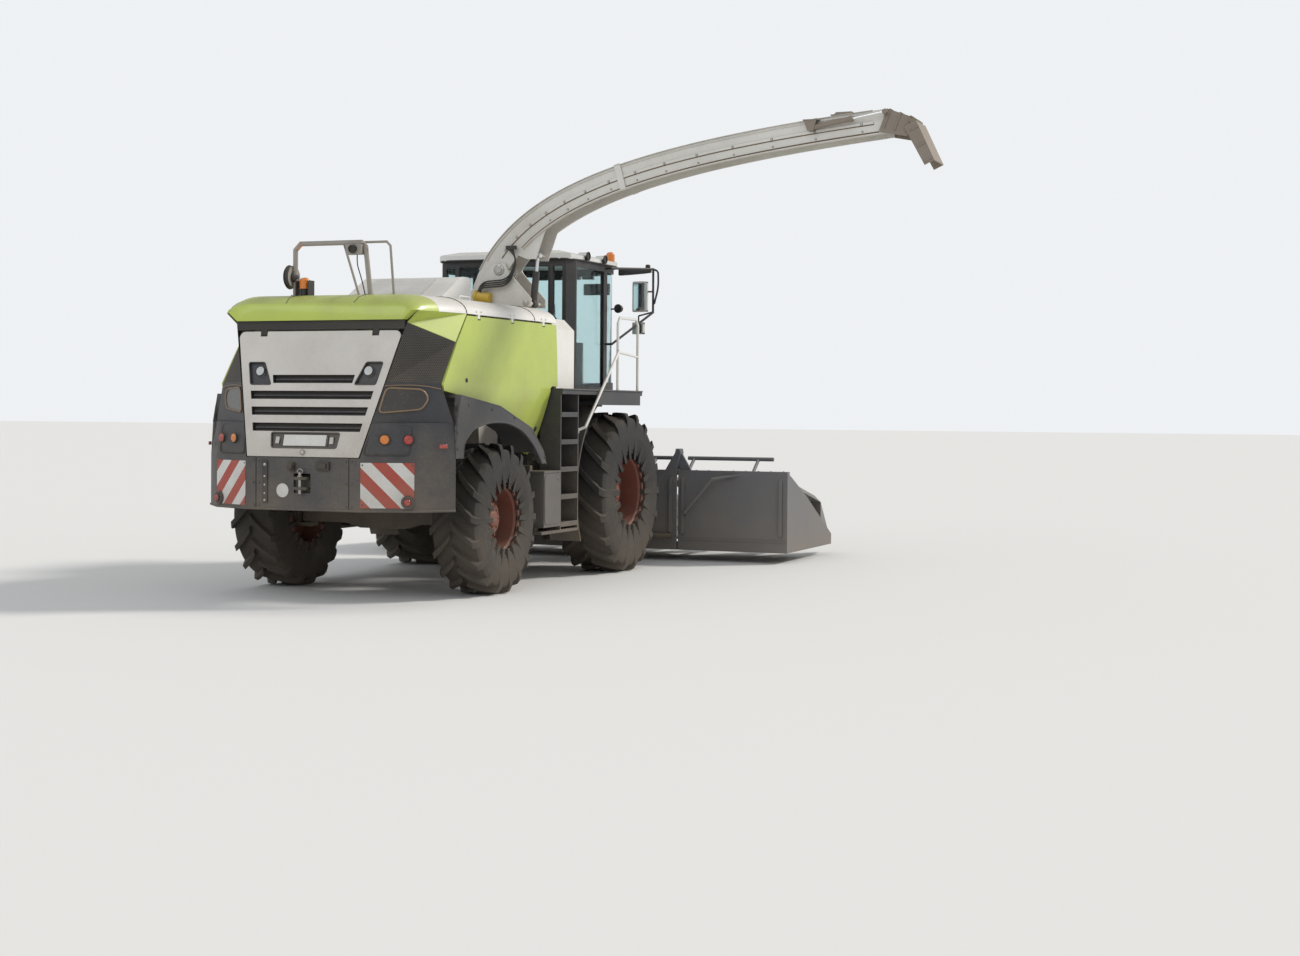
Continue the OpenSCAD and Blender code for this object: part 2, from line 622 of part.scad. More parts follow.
module platform() {
  color(DARK) place() both() {
    span([-1010, cab_w + 20, cab_z - 60], [620, fender_w, cab_z]);
    span([step_x0, hood_w - 150, cab_z - 60], [-1010, fender_w, cab_z]);
    // walkway behind the cab
    span([-turn_x + 310, 0, cab_z - 60], [-cab_rear - 10, cab_w + 20, cab_z]);
    // steps between the wheels, on two side sheets
    for (x = [step_x0, step_x1]) span([x, fender_w - 260, 560], [x + 20, fender_w - 20, cab_z - 60]);
    for (z = [600 : step_gap : cab_z - 200]) span([step_x0 + 20, fender_w - 260, z],
      [step_x1, fender_w - 20, z + 30]);
    // storage box between the steps and the rear wheel, and the rail below
    span([-2050, fender_w - 300, 600], [step_x0, fender_w - 20, rail_z + rail_h]);
    span([-2100, fender_w - 300, 530], [step_x1 + 20, fender_w - 20, 560]);
    span([-2050, fender_w - 200, 560], [-1980, fender_w - 120, 600]);
  }
}

rail_line = fender_w - 24;
hand_line = fender_w + 24;
foot_x = step_x1 + 42;
// pad that fixes a handrail to the side sheet of the steps
module rail_foot(z) { span([step_x1 + 20, rail_line - 56, z - 26], [step_x1 + 56, rail_line - 4, z + 26]); }
module guard_rails() {
  color(WHITE) place() {
    // loop and handrail beside the cab on the right
    mirror([0, 1, 0]) {
      tube([[-70, rail_line, cab_z], [-70, rail_line, 2800], [-10, rail_line, 2870], [470, rail_line, 2870],
        [530, rail_line, 2800], [530, rail_line, cab_z]], 16);
      rod([-70, rail_line, 2480], [530, rail_line, 2440], 14, 12);
      tube([[-70, rail_line, 2510], [-160, hand_line, 2480], [-1090, hand_line, 1640],
        [foot_x, rail_line - 30, 1600]], 16);
      rail_foot(1600);
    }
    // post and handrail on the left, clear of the door
    tube([[-440, rail_line, cab_z], [-440, rail_line, 2740], [-500, hand_line, 2800],
      [-1090, hand_line, 1680],
      [foot_x, rail_line - 30, 1640]], 16);
    rail_foot(1640);
  }
}

fender_r = front_r + 240;
module front_fenders() {
  strip_x = -580;
  strip_z = front_r + floor(sqrt(pow(fender_r, 2) - pow(strip_x, 2))) - 20;
  color(DARK) place() both() {
    // curved strip behind the tyre
    translate([0, fender_w - 60, front_r]) rotate([90, 0, 0]) linear_extrude(340)
      polygon(concat([for (a = [28 : 8 : 116]) fender_r * [-sin(a), cos(a)]],
        [for (a = [116 : -8 : 28]) (fender_r - 24) * [-sin(a), cos(a)]]));
    span([strip_x, fender_w - 400, strip_z], [strip_x + 150, fender_w - 60, cab_z - 130]);
    // skirt under the platform edge
    span([-700, fender_w - 20, cab_z - 170], [560, fender_w, cab_z - 60]);
  }
}

// cab
// half outline of the cab from its rear corner to the middle of the windscreen
cab_half = [[-cab_rear, cab_w - 70], [-cab_rear + 120, cab_w], [900, cab_w], [1150, cab_w - 90],
  [cab_front - 70, cab_w - 350], [cab_front, 200]];
function mirrored(p) = concat(p, [for (i = [len(p) - 1 : -1 : 0]) [p[i][0], -p[i][1]]]);
// an outline moved in by d: each corner goes along the sum of its sides' inward normals
function inset(p, d) = [for (i = [0 : len(p) - 1])
  let (a = p[(i + len(p) - 1) % len(p)], b = p[i], c = p[(i + 1) % len(p)], u = (b - a) / norm(b - a),
    v = (c - b) / norm(c - b)) b + d / (1 + u * v) * [u[1] + v[1], -u[0] - v[0]]];
function cab_plan(d) = inset(mirrored(cab_half), d);
sill_z = cab_z + 100;
head_z = cab_top - 80;
door_x0 = -150;
door_x1 = 640;
pillar_x = door_x1 + 100;

// window and door openings as boxes
module side_openings(s) {
  mirror([0, s < 0 ? 1 : 0, 0]) span([door_x0, cab_w - 100, sill_z - 60], [door_x1, cab_w + 50, head_z]);
}
module end_openings() {
  span([-cab_rear - 50, -560, sill_z + 350], [-cab_rear + 55, 560, head_z]);
  both() span([-cab_rear - 50, 620, sill_z + 350], [-cab_rear + 55, 735, head_z]);
  span([pillar_x, -cab_w - 50, sill_z], [cab_front + 50, cab_w + 50, head_z]);
}

module cab_shell() {
  color(BLACK) place() {
    difference() {
      translate([0, 0, cab_z]) linear_extrude(cab_top - cab_z) polygon(cab_plan(0));
      translate([0, 0, cab_z + 40]) linear_extrude(cab_top) polygon(cab_plan(cab_wall));
      side_openings(1);
      side_openings(-1);
      end_openings();
    }
    span([-cab_rear + 60, -cab_w + 100, cab_z - 60], [cab_front - 300, cab_w - 100, cab_z]);
    // hinge lugs and pins of the door on its front pillar
    for (z = door_pins) {
      span([door_x1 - 12, cab_w, z - 30], [door_x1 + 40, cab_w + 30, z - 3]);
      translate([door_x1, door_pin_y, z - 30]) cylinder(h = 110, r = 8);
    }
  }
}

module cab_glass() {
  color([0.6, 0.8, 0.85, 0.5]) place() intersection() {
    translate([0, 0, cab_z]) linear_extrude(cab_top - cab_z) difference() {
      polygon(cab_plan(18));
      polygon(cab_plan(26));
    }
    union() {
      side_openings(-1);
      end_openings();
    }
  }
}

module cab_door() {
  color(BLACK) place() {
    difference() {
      span([door_x0 + 6, cab_w - 44, sill_z - 54], [door_x1 - 6, cab_w - 4, head_z - 6]);
      span([door_x0 + 50, cab_w - 60, sill_z + 20], [door_x1 - 50, cab_w + 10, head_z - 50]);
    }
    span([door_x0 + 50, cab_w - 28, sill_z + 20], [door_x1 - 50, cab_w - 20, head_z - 50]);
    for (z = door_pins) difference() {
      union() {
        translate([door_x1, door_pin_y, z]) cylinder(h = 80, r = 15);
        span([door_x1 - 50, cab_w - 4, z], [door_x1, door_pin_y + 4, z + 80]);
      }
      translate([door_x1, door_pin_y, z - 1]) cylinder(h = 82, r = 8.3);
      span([door_x1 - 6, cab_w - 50, z - 1], [door_x1 + 30, cab_w + 0.5, z + 81]);
    }
  }
}

// outer hinges of the door
door_pin_y = cab_w + 16;
door_pins = [sill_z + 150, head_z - 330];

module cab_roof() {
  rim = cab_top + 50;
  crown_top = cab_top + roof_h;
  color(PALE) place() {
    // outline, side view and rear view meet in one form with a flat crown
    intersection() {
      translate([0, 0, cab_top]) linear_extrude(roof_h) polygon(mirrored([[-cab_rear - 60, cab_w - 130],
        [-cab_rear + 20, cab_w - 20], [-cab_rear + 160, cab_w + 20], [1000, cab_w + 20],
          [1350, cab_w - 150], [1500, 350]]));
      xz(1000, 2000) polygon([[-500, cab_top], [1600, cab_top], [1600, cab_top + 10], [1250, crown_top],
        [-cab_rear + 130, crown_top], [-500, cab_top + 20]]);
      yz(-600, 2300) polygon(sym([[cab_w + 50, cab_top], [cab_w + 50, rim - 10], [cab_w - 220, crown_top]]));
    }
    // work lamps under the front overhang and on the sides, beacons at the front corners
    for (y = [-300, -120, 120, 300]) span([1405, y - 70, cab_top - 110], [1470, y + 70, cab_top]);
    both() for (x = [60, 560]) translate([x, cab_w - 60, cab_top + 52]) rotate([-90, 0, 0])
      cylinder(h = 105, r = 46);
    both() translate([1020, cab_w - 80, cab_top + 30]) cylinder(h = 115, r = 52);
  }
}

module cab_controls() {
  color(BLACK) place() {
    // dash, steering column and wheel, side console
    xz(200, 400) polygon([[1000, cab_z + 40], [1180, cab_z + 40], [1120, cab_z + 560], [1020, cab_z + 600],
      [980, cab_z + 540]]);
    rod([1000, 0, cab_z + 560], [760, 0, cab_z + 760], 30);
    translate([760, 0, cab_z + 760]) rotate([0, -50, 0]) rotate_extrude($fn = 32) translate([190, 0])
      circle(r = 16, $fn = 13);
    translate([760, 0, cab_z + 760]) rotate([0, -50, 0]) span([-190, -14, -8], [190, 14, 8]);
    span([-120, -620, cab_z + 40], [560, -330, cab_z + 560]);
  }
}

seat_x = 200;
module seat_frame() {
  color(BLACK) place() translate([seat_x, 0, 0]) {
    span([-150, -200, cab_z + 40], [280, 200, cab_z + 330]);
    xz(240, 480) polygon([[-190, cab_z + 330], [310, cab_z + 330], [310, cab_z + 360], [-160, cab_z + 360],
      [-290, cab_z + 1080], [-320, cab_z + 1080]]);
  }
}

module seat_cushion() {
  color(DARK) place() translate([seat_x, 0, 0]) {
    span([-145, -230, cab_z + 360.3], [330, 230, cab_z + 460]);
    xz(230, 460) polygon([[-179.5, cab_z + 470], [-70, cab_z + 470], [-190, cab_z + 1090],
      [-291.5, cab_z + 1090]]);
  }
}

module mirrors() {
  arm = cab_w + 350;
  head = cab_w + 100;
  color(BLACK) place() both() {
    tube([[700, cab_w, head_z + 40], [700, cab_w + 70, head_z + 40], [1330, arm, cab_top - 10],
      [1330, arm, 3000],
      [700, cab_w + 80, 2600], [700, cab_w, 2600]], 14);
    span([1290, head, 3010], [1344, head + 180, 3370]);
    rod([1330, head + 170, 3250], [1330, arm, 3250], 10, 8);
    rod([1316, head + 70, 2960], [1316, head + 70, 2860], 10, 8);
    rod([1316, head + 70, 2960], [1330, arm - 6, 3004], 10, 8);
    span([1290, head, 2740], [1344, head + 140, 2880]);
  }
}

// spout
// top edge of the arm as a cubic curve from the turntable to the arm's end, [reach, height]
top0 = [150, 3150];
top1 = [550, spout_top - 650];
top2 = [1900, spout_top - 250];
top3 = [spout_reach, spout_top];
function curve(t) = pow(1 - t, 3) * top0 + 3 * t * pow(1 - t, 2) * top1 + 3 * t * t * (1 - t)
  * top2 + pow(t, 3) * top3;
function slope(t) = let (a = curve(max(t - 0.01, 0)), b = curve(min(t + 0.01, 1)), d = b - a) d / norm(d);
function under(t, depth) = let (d = slope(t)) curve(t) + depth * [d[1], -d[0]];
steps = 20;
lift_s = 480;
lift_z = 3330;
lug_s = 850;
lug_z = 3500;
base_s = 800;
base_z = turn_z + 10;

// everything on the turntable is drawn reaching along X and turned to the right
module at_turn() { place() translate([-turn_x, 0, 0]) rotate([0, 0, -90]) children(); }

module spout_turn() {
  color(PALE) at_turn() {
    difference() {
      translate([0, 0, turn_z - 75]) cylinder(h = 75, r = turn_r + 20);
      translate([0, 0, turn_z - 81]) cylinder(h = 41.3, r = turn_r - 59.7);
    }
    // cheeks that carry the arm
    both() difference() {
      xz(spout_w / 2 + 32, 20) polygon([[-60, turn_z], [base_s + 60, turn_z - 30], [base_s + 60, turn_z + 60],
        [lift_s + 110, lift_z - 20], [lift_s + 70, lift_z + 70], [lift_s - 70, lift_z + 70],
          [150, turn_z + 150],
        [-60, turn_z + 60]]);
      translate([lift_s, spout_w / 2, lift_z]) rotate([-90, 0, 0]) cylinder(h = 60, r = 25);
    }
    translate([lift_s, -spout_w / 2 - 34, lift_z]) rotate([-90, 0, 0]) cylinder(h = spout_w + 68, r = 25);
    translate([base_s, -spout_w / 2 - 32, base_z]) rotate([-90, 0, 0]) cylinder(h = spout_w + 64, r = 18);
  }
}

module spout_arm() {
  color(PALE) at_turn() difference() {
    union() {
      difference() {
        xz(spout_w / 2, spout_w) polygon([for (i = [0 : steps]) curve(i / steps),
          for (i = [steps : -1 : 0]) under(i / steps, spout_d * (1.1 - 0.2 * i / steps))]);
        xz(spout_w / 2 - spout_wall, spout_w - 2 * spout_wall) polygon([for (i = [0 : steps])
          under(i / steps, spout_wall),
          for (i = [steps : -1 : 0]) under(i / steps, spout_d * 1.5)]);
      }
      // pivot bosses and the ears over the rod's eye
      both() translate([lift_s, spout_w / 2 - 40, lift_z]) rotate([-90, 0, 0]) cylinder(h = 45, r = 60);
      both() xz(spout_w / 2, spout_wall) polygon([under(0.17, spout_d / 2), under(0.33, spout_d / 2),
        under(0.33, spout_d),
        [lug_s + 50, lug_z - 60], [lug_s - 50, lug_z - 60]]);
      translate([lug_s, -spout_w / 2 + 1, lug_z]) rotate([-90, 0, 0]) cylinder(h = spout_w - 2, r = 16);
      // ears and pins of the outlet flap
      both() {
        xz(spout_w / 2, spout_wall) polygon([[spout_reach - 60, flap_pin[1] + 14],
          [flap_pin[0] + 14, flap_pin[1] + 14],
          [flap_pin[0] + 14, flap_pin[1] - 14], [spout_reach - 60, flap_pin[1] - 14]]);
        translate([flap_pin[0], spout_w / 2 - 10, flap_pin[1]]) rotate([-90, 0, 0]) cylinder(h = 34, r = 8);
      }
    }
    translate([lift_s, -300, lift_z]) rotate([-90, 0, 0]) cylinder(h = 600, r = 25.3);
  }
}

// a hood of three sheets under the line a to b, turning on a pin at c
module flap(a, b, w, depth, c) {
  d = b - a;
  n = [d[1], -d[0]] / norm(d);
  difference() {
    union() {
      xz(w / 2, w) polygon([a, b, b + depth * 0.8 * n, a + depth * n]);
      translate([c[0], -w / 2, c[1]]) rotate([-90, 0, 0]) cylinder(h = w, r = 24);
    }
    xz(w / 2 - 12, w - 24) polygon([a + 12 * n - d, b + 12 * n + d, b + depth * 1.5 * n + d,
      a + depth * 1.5 * n - d]);
    translate([c[0], -w / 2 + 12, c[1]]) rotate([-90, 0, 0]) cylinder(h = w - 24, r = 25);
    translate([c[0], -w, c[1]]) rotate([-90, 0, 0]) cylinder(h = 2 * w, r = 8.3);
  }
}
flap_pin = top3 + [12, -34];
flap_a = top3 + [26, 0];
flap_b = flap_a + [276, -104];
tip_pin = flap_b + [-18, -34];
tip_a = flap_b + [21, -29];
tip_b = flap_b + [210, -430];
module spout_flap() {
  color(GREY) at_turn() {
    flap(flap_a, flap_b, spout_w + 44, spout_d * 0.9, flap_pin);
    both() translate([tip_pin[0], spout_w / 2 + 12, tip_pin[1]]) rotate([-90, 0, 0]) cylinder(h = 34, r = 8);
  }
}
module spout_tip() { color(GREY) at_turn() flap(tip_a, tip_b, spout_w + 90, spout_d * 0.5, tip_pin); }

cyl_a = [base_s, 0, base_z];
cyl_b = [lug_s, 0, lug_z];
module spout_barrel() {
  color(BLACK) at_turn() difference() {
    union() {
      rod(mix(cyl_a, cyl_b, 0.04), mix(cyl_a, cyl_b, 0.66), 38, 32);
      translate(cyl_a - [0, 40, 0]) rotate([-90, 0, 0]) cylinder(h = 80, r = 42);
    }
    translate(cyl_a - [0, 60, 0]) rotate([-90, 0, 0]) cylinder(h = 120, r = 18.3);
    rod(mix(cyl_a, cyl_b, 0.115), mix(cyl_a, cyl_b, 0.7), 20.3, 32);
  }
}
module spout_rod() {
  color(STEEL) at_turn() {
    difference() {
      union() {
        rod(mix(cyl_a, cyl_b, 0.23), mix(cyl_a, cyl_b, 0.96), 20, 32);
        translate(cyl_b - [0, 35, 0]) rotate([-90, 0, 0]) cylinder(h = 70, r = 40);
      }
      translate(cyl_b - [0, 50, 0]) rotate([-90, 0, 0]) cylinder(h = 100, r = 16 + eye_play);
    }
  }
}

// feed housing and header
module feeder() {
  color(DARK) place() {
    difference() {
      xz(feed_w, 2 * feed_w) polygon([[620, 1360], [620, 780], [1450, 470], [head_x, 470], [head_x, 1260],
        [1400, 1360]]);
      // mouth
      span([head_x - 300, -320, 520], [head_x + 1, 320, 960]);
    }
    // pivot ears and the lugs beside the rods' eyes
    both() difference() {
      xz(395, 35) translate([pivot_x, pivot_z]) square(180, center = true);
      translate([pivot_x, feed_w - 50, pivot_z]) rotate([-90, 0, 0]) cylinder(h = 200, r = 35.3);
    }
    both() translate([lift_eye_x, feed_w, lift_eye_z]) rotate([-90, 0, 0]) cylinder(h = 38, r = 70);
    both() translate([lift_eye_x, feed_w, lift_eye_z]) rotate([-90, 0, 0]) cylinder(h = 140, r = 20);
  }
}

module header_wall(y0, y1) {
  span([head_x, y0, 260], [head_x + 20, y1, wall_top]);
  span([head_x, y0, wall_top], [head_x + 120, y1, wall_top + 60]);
  span([head_x + 20, y0, 130], [rotor_x + 260, y1, 160]);
  span([head_x, y0, 130], [head_x + 20, y1, 260]);
}

// a pointed divider: a nose ahead of the rotors, and a ridge back over them to the rear wall
nose_x = rotor_x + rotor_r + 60;
ridge_z = rotor_z + 440;
module divider(y, w, ridge) {
  translate([0, y, 0]) {
    polyhedron(points = [[tip_x, -12, 130], [tip_x, 12, 130], [tip_x, 0, 160], [nose_x, -w / 2, 130],
      [nose_x, w / 2, 130],
      [nose_x, w / 2, ridge_z], [nose_x, 0, ridge_z + 80], [nose_x, -w / 2, ridge_z]],
      faces = [[4, 3, 7, 6, 5], [0, 1, 4, 3], [1, 2, 5], [1, 5, 4], [2, 6, 5], [2, 7, 6], [0, 3, 7],
        [0, 7, 2],
        [0, 2, 1]]);
    span([rotor_x + 200, -45, 130], [nose_x, 45, 160]);
    if (ridge) polyhedron(points = [[nose_x, -w / 2, ridge_z], [nose_x, w / 2, ridge_z],
      [nose_x, 0, ridge_z + 80],
      [head_x + 20, -w / 2, wall_top - 64], [head_x + 20, w / 2, wall_top - 64],
        [head_x + 20, 0, wall_top + 16]],
      faces = [[0, 2, 1], [3, 4, 5], [0, 1, 4, 3], [1, 2, 5, 4], [2, 0, 3, 5]]);
  }
}

// hinge leaf of a wing in the plane x to x + t, standing on the beam of the rear wall
module leaf(x, y0, y1) {
  yz(x, 30) polygon([[y0, wall_top + 60], [y1, wall_top + 60], [fold_y + 34, fold_z - 20],
    [fold_y + 24, fold_z + 30],
    [fold_y - 24, fold_z + 30], [fold_y - 34, fold_z - 20]]);
}
fold_y = rotor_pitch;

module header_middle() {
  color(GREY) place() {
    difference() {
      header_wall(-rotor_pitch + 10, rotor_pitch - 10);
      span([head_x - 1, -320, 520], [head_x + 21, 320, 960]);
    }
    for (s = [-1, 1]) translate([rotor_x, s * rotor_pitch / 2, 160]) {
      cylinder(h = 60, r = 150);
      cylinder(h = 200, r = 60);
    }
    divider(0, 220, true);
    both() divider(rotor_pitch - 105, 180, true);
    both() divider(rotor_pitch / 2, 130, false);
    // push bar on its posts
    rod([2000, -rotor_pitch + 30, bar_z], [2000, rotor_pitch - 30, bar_z], 24, 12);
    for (y = [-1000, 0, 1000]) rod([1780, y, wall_top + 40], [2000, y, bar_z], 20, 12);
    // hinge leaves and pins of the wings
    both() for (x = [head_x, head_x + 90]) leaf(x, fold_y - 160, fold_y - 12);
    both() translate([head_x, fold_y, fold_z]) rotate([0, 90, 0]) cylinder(h = 120, r = 16);
  }
}

module header_wing(s) {
  color(GREY) place() mirror([0, s < 0 ? 1 : 0, 0]) {
    header_wall(rotor_pitch + 10, 2 * rotor_pitch);
    translate([rotor_x, rotor_pitch * 1.5, 160]) {
      cylinder(h = 60, r = 150);
      cylinder(h = 200, r = 60);
    }
    divider(rotor_pitch * 1.5, 130, false);
    divider(rotor_pitch * 2 - 90, 160, true);
    // side sheet
    xz(2 * rotor_pitch + 10, 10) polygon([[head_x, 130], [tip_x - 300, 130], [tip_x - 300, 260],
      [rotor_x, 800], [head_x, wall_top + 60]]);
    rod([2000, rotor_pitch + 30, bar_z], [2000, 2520, bar_z], 24, 12);
    for (y = [1500, 2330]) rod([1780, y, wall_top + 40], [2000, y, bar_z], 20, 12);
    // bent stay behind the rear wall
    tube([[head_x + 10, 1500, 560], [head_x - 100, 1520, 590], [head_x - 100, 1870, 1000],
      [head_x + 60, 2330, wall_top + 40]], 18);
    difference() {
      leaf(head_x + 45, fold_y + 12, fold_y + 160);
      translate([head_x, fold_y, fold_z]) rotate([0, 90, 0]) cylinder(h = 120, r = 16.3);
    }
  }
}
module header_wing_right() { header_wing(-1); }
module header_wing_left() { header_wing(1); }

// rotor with saw-toothed knife disc, drum and pocketed gathering discs
module rotor(k) {
  y = (k - 2.5) * rotor_pitch;
  color(STEEL) place() translate([rotor_x, y, 0]) difference() {
    union() {
      translate([0, 0, rotor_z]) linear_extrude(12) polygon([for (i = [0 : 71])
        (i % 2 == 0 ? rotor_r : rotor_r - 28) * [cos(i * 5), sin(i * 5)]]);
      translate([0, 0, rotor_z]) cylinder(h = 520, r = rotor_r * 0.6);
      translate([0, 0, rotor_z + 520]) cylinder(h = 60, r1 = rotor_r * 0.6, r2 = rotor_r * 0.35);
      for (j = [1 : rotor_discs]) translate([0, 0, rotor_z + j * 130]) linear_extrude(12)
        polygon([for (i = [0 : pockets - 1], q = [[0, 0.95], [5, 0.95], [9, 0.72], [22, 0.72]])
          rotor_r * q[1] * [cos((i * 360 + 0) / pockets + q[0]), sin(i * 360 / pockets + q[0])]]);
    }
    translate([0, 0, rotor_z - 1]) cylinder(h = 130, r = 60.3);
  }
}
module rotor_1() { rotor(1); }
module rotor_2() { rotor(2); }
module rotor_3() { rotor(3); }
module rotor_4() { rotor(4); }

// play of a cylinder's eye on its pin
eye_play = 4.5;
lift_a = [lift_base_x, lift_y, lift_base_z];
lift_b = [lift_eye_x, lift_y, lift_eye_z];
module lift_barrels() {
  color(BLACK) place() both() difference() {
    union() {
      rod(mix(lift_a, lift_b, 0.03), mix(lift_a, lift_b, 0.6), 45, 32);
      translate(lift_a - [0, 45, 0]) rotate([-90, 0, 0]) cylinder(h = 90, r = 48);
    }
    translate(lift_a - [0, 60, 0]) rotate([-90, 0, 0]) cylinder(h = 120, r = 20.3);
    rod(mix(lift_a, lift_b, 0.1), mix(lift_a, lift_b, 0.62), 25.3, 32);
  }
}
module lift_rods() {
  color(STEEL) place() both() {
    difference() {
      union() {
        rod(mix(lift_a, lift_b, 0.13), mix(lift_a, lift_b, 0.97), 25, 32);
        translate(lift_b - [0, 34, 0]) rotate([-90, 0, 0]) cylinder(h = 80, r = 48);
      }
      translate(lift_b - [0, 50, 0]) rotate([-90, 0, 0]) cylinder(h = 110, r = 20 + eye_play);
    }
  }
}

frame();
front_axle();
rear_axle();
engine_block();
belly();
duct();
bumper();
tail_lamps();
rear_fenders();
corner_screens();
hood_deck();
tail_cowl();
roof_guard();
platform();
guard_rails();
front_fenders();
cab_shell();
cab_roof();
cab_glass();
cab_controls();
seat_frame();
seat_cushion();
mirrors();
grille_door();
side_panel_right();
side_panel_left();
cab_door();
knuckle_right();
knuckle_left();
tyre_front_right();
tyre_front_left();
tyre_rear_right();
tyre_rear_left();
rim_front_right();
rim_front_left();
rim_rear_right();
rim_rear_left();
spout_turn();
spout_arm();
spout_flap();
spout_tip();
spout_barrel();
spout_rod();
feeder();
header_middle();
header_wing_right();
header_wing_left();
rotor_1();
rotor_2();
rotor_3();
rotor_4();
lift_barrels();
lift_rods();
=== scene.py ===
import json
import math

import bmesh
import bpy
import numpy as np
from mathutils import Matrix, Vector


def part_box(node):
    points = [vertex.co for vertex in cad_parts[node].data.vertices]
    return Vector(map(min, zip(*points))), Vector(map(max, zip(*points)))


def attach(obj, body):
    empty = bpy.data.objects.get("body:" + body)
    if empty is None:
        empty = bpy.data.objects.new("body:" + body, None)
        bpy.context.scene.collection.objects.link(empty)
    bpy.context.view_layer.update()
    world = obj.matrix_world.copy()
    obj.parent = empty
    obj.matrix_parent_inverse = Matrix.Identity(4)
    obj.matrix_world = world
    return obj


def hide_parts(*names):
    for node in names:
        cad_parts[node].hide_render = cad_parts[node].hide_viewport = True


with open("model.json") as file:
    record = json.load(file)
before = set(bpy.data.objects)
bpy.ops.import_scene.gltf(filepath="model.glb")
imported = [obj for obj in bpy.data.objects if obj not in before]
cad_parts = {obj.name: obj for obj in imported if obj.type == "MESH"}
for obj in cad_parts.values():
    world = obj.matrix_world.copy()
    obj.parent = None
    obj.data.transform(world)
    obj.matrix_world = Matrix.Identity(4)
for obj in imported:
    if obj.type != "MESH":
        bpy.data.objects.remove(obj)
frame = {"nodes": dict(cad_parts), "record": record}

scene = bpy.context.scene
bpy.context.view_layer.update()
PHOTO_W, PHOTO_H = 1300, 956


# Camera and studio

def look(forward, roll):
    """Right, up and back axes of a camera that looks along forward, turned by roll about it."""
    right = forward.cross(Vector((0, 0, 1))).normalized()
    up = right.cross(forward)
    turned_right = right * math.cos(roll) + up * math.sin(roll)
    turned_up = up * math.cos(roll) - right * math.sin(roll)
    return turned_right, turned_up, -forward


def add_camera():
    """The photograph's view: low behind the right rear corner of the machine, with a moderate long lens."""
    heading, pitch, roll = math.radians(21.48), math.radians(-0.697), math.radians(0.413)
    place = Vector((-19.3325, -8.222, 1.827))
    focal_px, axis_px = 1879.15, 433
    forward = Vector((math.cos(heading) * math.cos(pitch), math.sin(heading) * math.cos(pitch),
                      math.sin(pitch)))
    axes = look(forward, roll)
    data = bpy.data.cameras.new("camera")
    data.sensor_width = 36
    data.lens = focal_px / PHOTO_W * data.sensor_width
    data.shift_y = (axis_px - PHOTO_H / 2) / PHOTO_W
    data.clip_end = 400
    camera = bpy.data.objects.new("camera", data)
    camera.matrix_world = Matrix.Translation(place) @ Matrix(axes).transposed().to_4x4()
    scene.collection.objects.link(camera)
    scene.camera = camera


def add_sun(name, direction, strength, angle, colour):
    """A sun that shines along the direction; a wide angle gives it soft shadows."""
    data = bpy.data.lights.new(name, "SUN")
    data.energy = strength
    data.angle = math.radians(angle)
    data.color = colour
    lamp = bpy.data.objects.new(name, data)
    lamp.rotation_euler = Vector(direction).to_track_quat("-Z", "Y").to_euler()
    scene.collection.objects.link(lamp)


def add_studio():
    """Pale floor, pale surround, a soft key from the right front and a weak fill from behind."""
    scene.view_settings.view_transform = "Standard"
    world = bpy.data.worlds.new("surround")
    scene.world = world
    world.use_nodes = True
    nodes, links = world.node_tree.nodes, world.node_tree.links
    shade = nodes["Background"]
    shade.inputs["Color"].default_value = (0.93, 0.96, 1.0, 1)
    shade.inputs["Strength"].default_value = 0.62
    seen = nodes.new("ShaderNodeBackground")
    seen.inputs["Color"].default_value = (0.86, 0.88, 0.90, 1)
    seen.inputs["Strength"].default_value = 1.0
    path = nodes.new("ShaderNodeLightPath")
    mixer = nodes.new("ShaderNodeMixShader")
    either = nodes.new("ShaderNodeMath")
    either.operation = "MAXIMUM"
    links.new(path.outputs["Is Camera Ray"], either.inputs[0])
    links.new(path.outputs["Is Transmission Ray"], either.inputs[1])
    links.new(either.outputs[0], mixer.inputs[0])
    links.new(shade.outputs[0], mixer.inputs[1])
    links.new(seen.outputs[0], mixer.inputs[2])
    links.new(mixer.outputs[0], nodes["World Output"].inputs["Surface"])
    add_sun("key", (-0.50, 0.62, -0.60), 2.3, 9, (1.0, 0.965, 0.91))
    add_sun("fill", (0.75, -0.25, -0.45), 0.55, 40, (0.92, 0.96, 1.0))

    floor = bpy.data.meshes.new("floor")
    half = 160.0
    floor.from_pydata([(-half, -half, 0), (half, -half, 0), (half, half, 0), (-half, half, 0)], [],
                      [(0, 1, 2, 3)])
    plane = bpy.data.objects.new("floor", floor)
    scene.collection.objects.link(plane)
    pale = bpy.data.materials.new("floor_pale")
    pale.use_nodes = True
    bsdf = pale.node_tree.nodes["Principled BSDF"]
    bsdf.inputs["Base Color"].default_value = (0.72, 0.71, 0.69, 1)
    bsdf.inputs["Roughness"].default_value = 0.9
    bsdf.inputs["Specular IOR Level"].default_value = 0.1
    floor.materials.append(pale)


# Effects shared by the finishes, each a shader node group

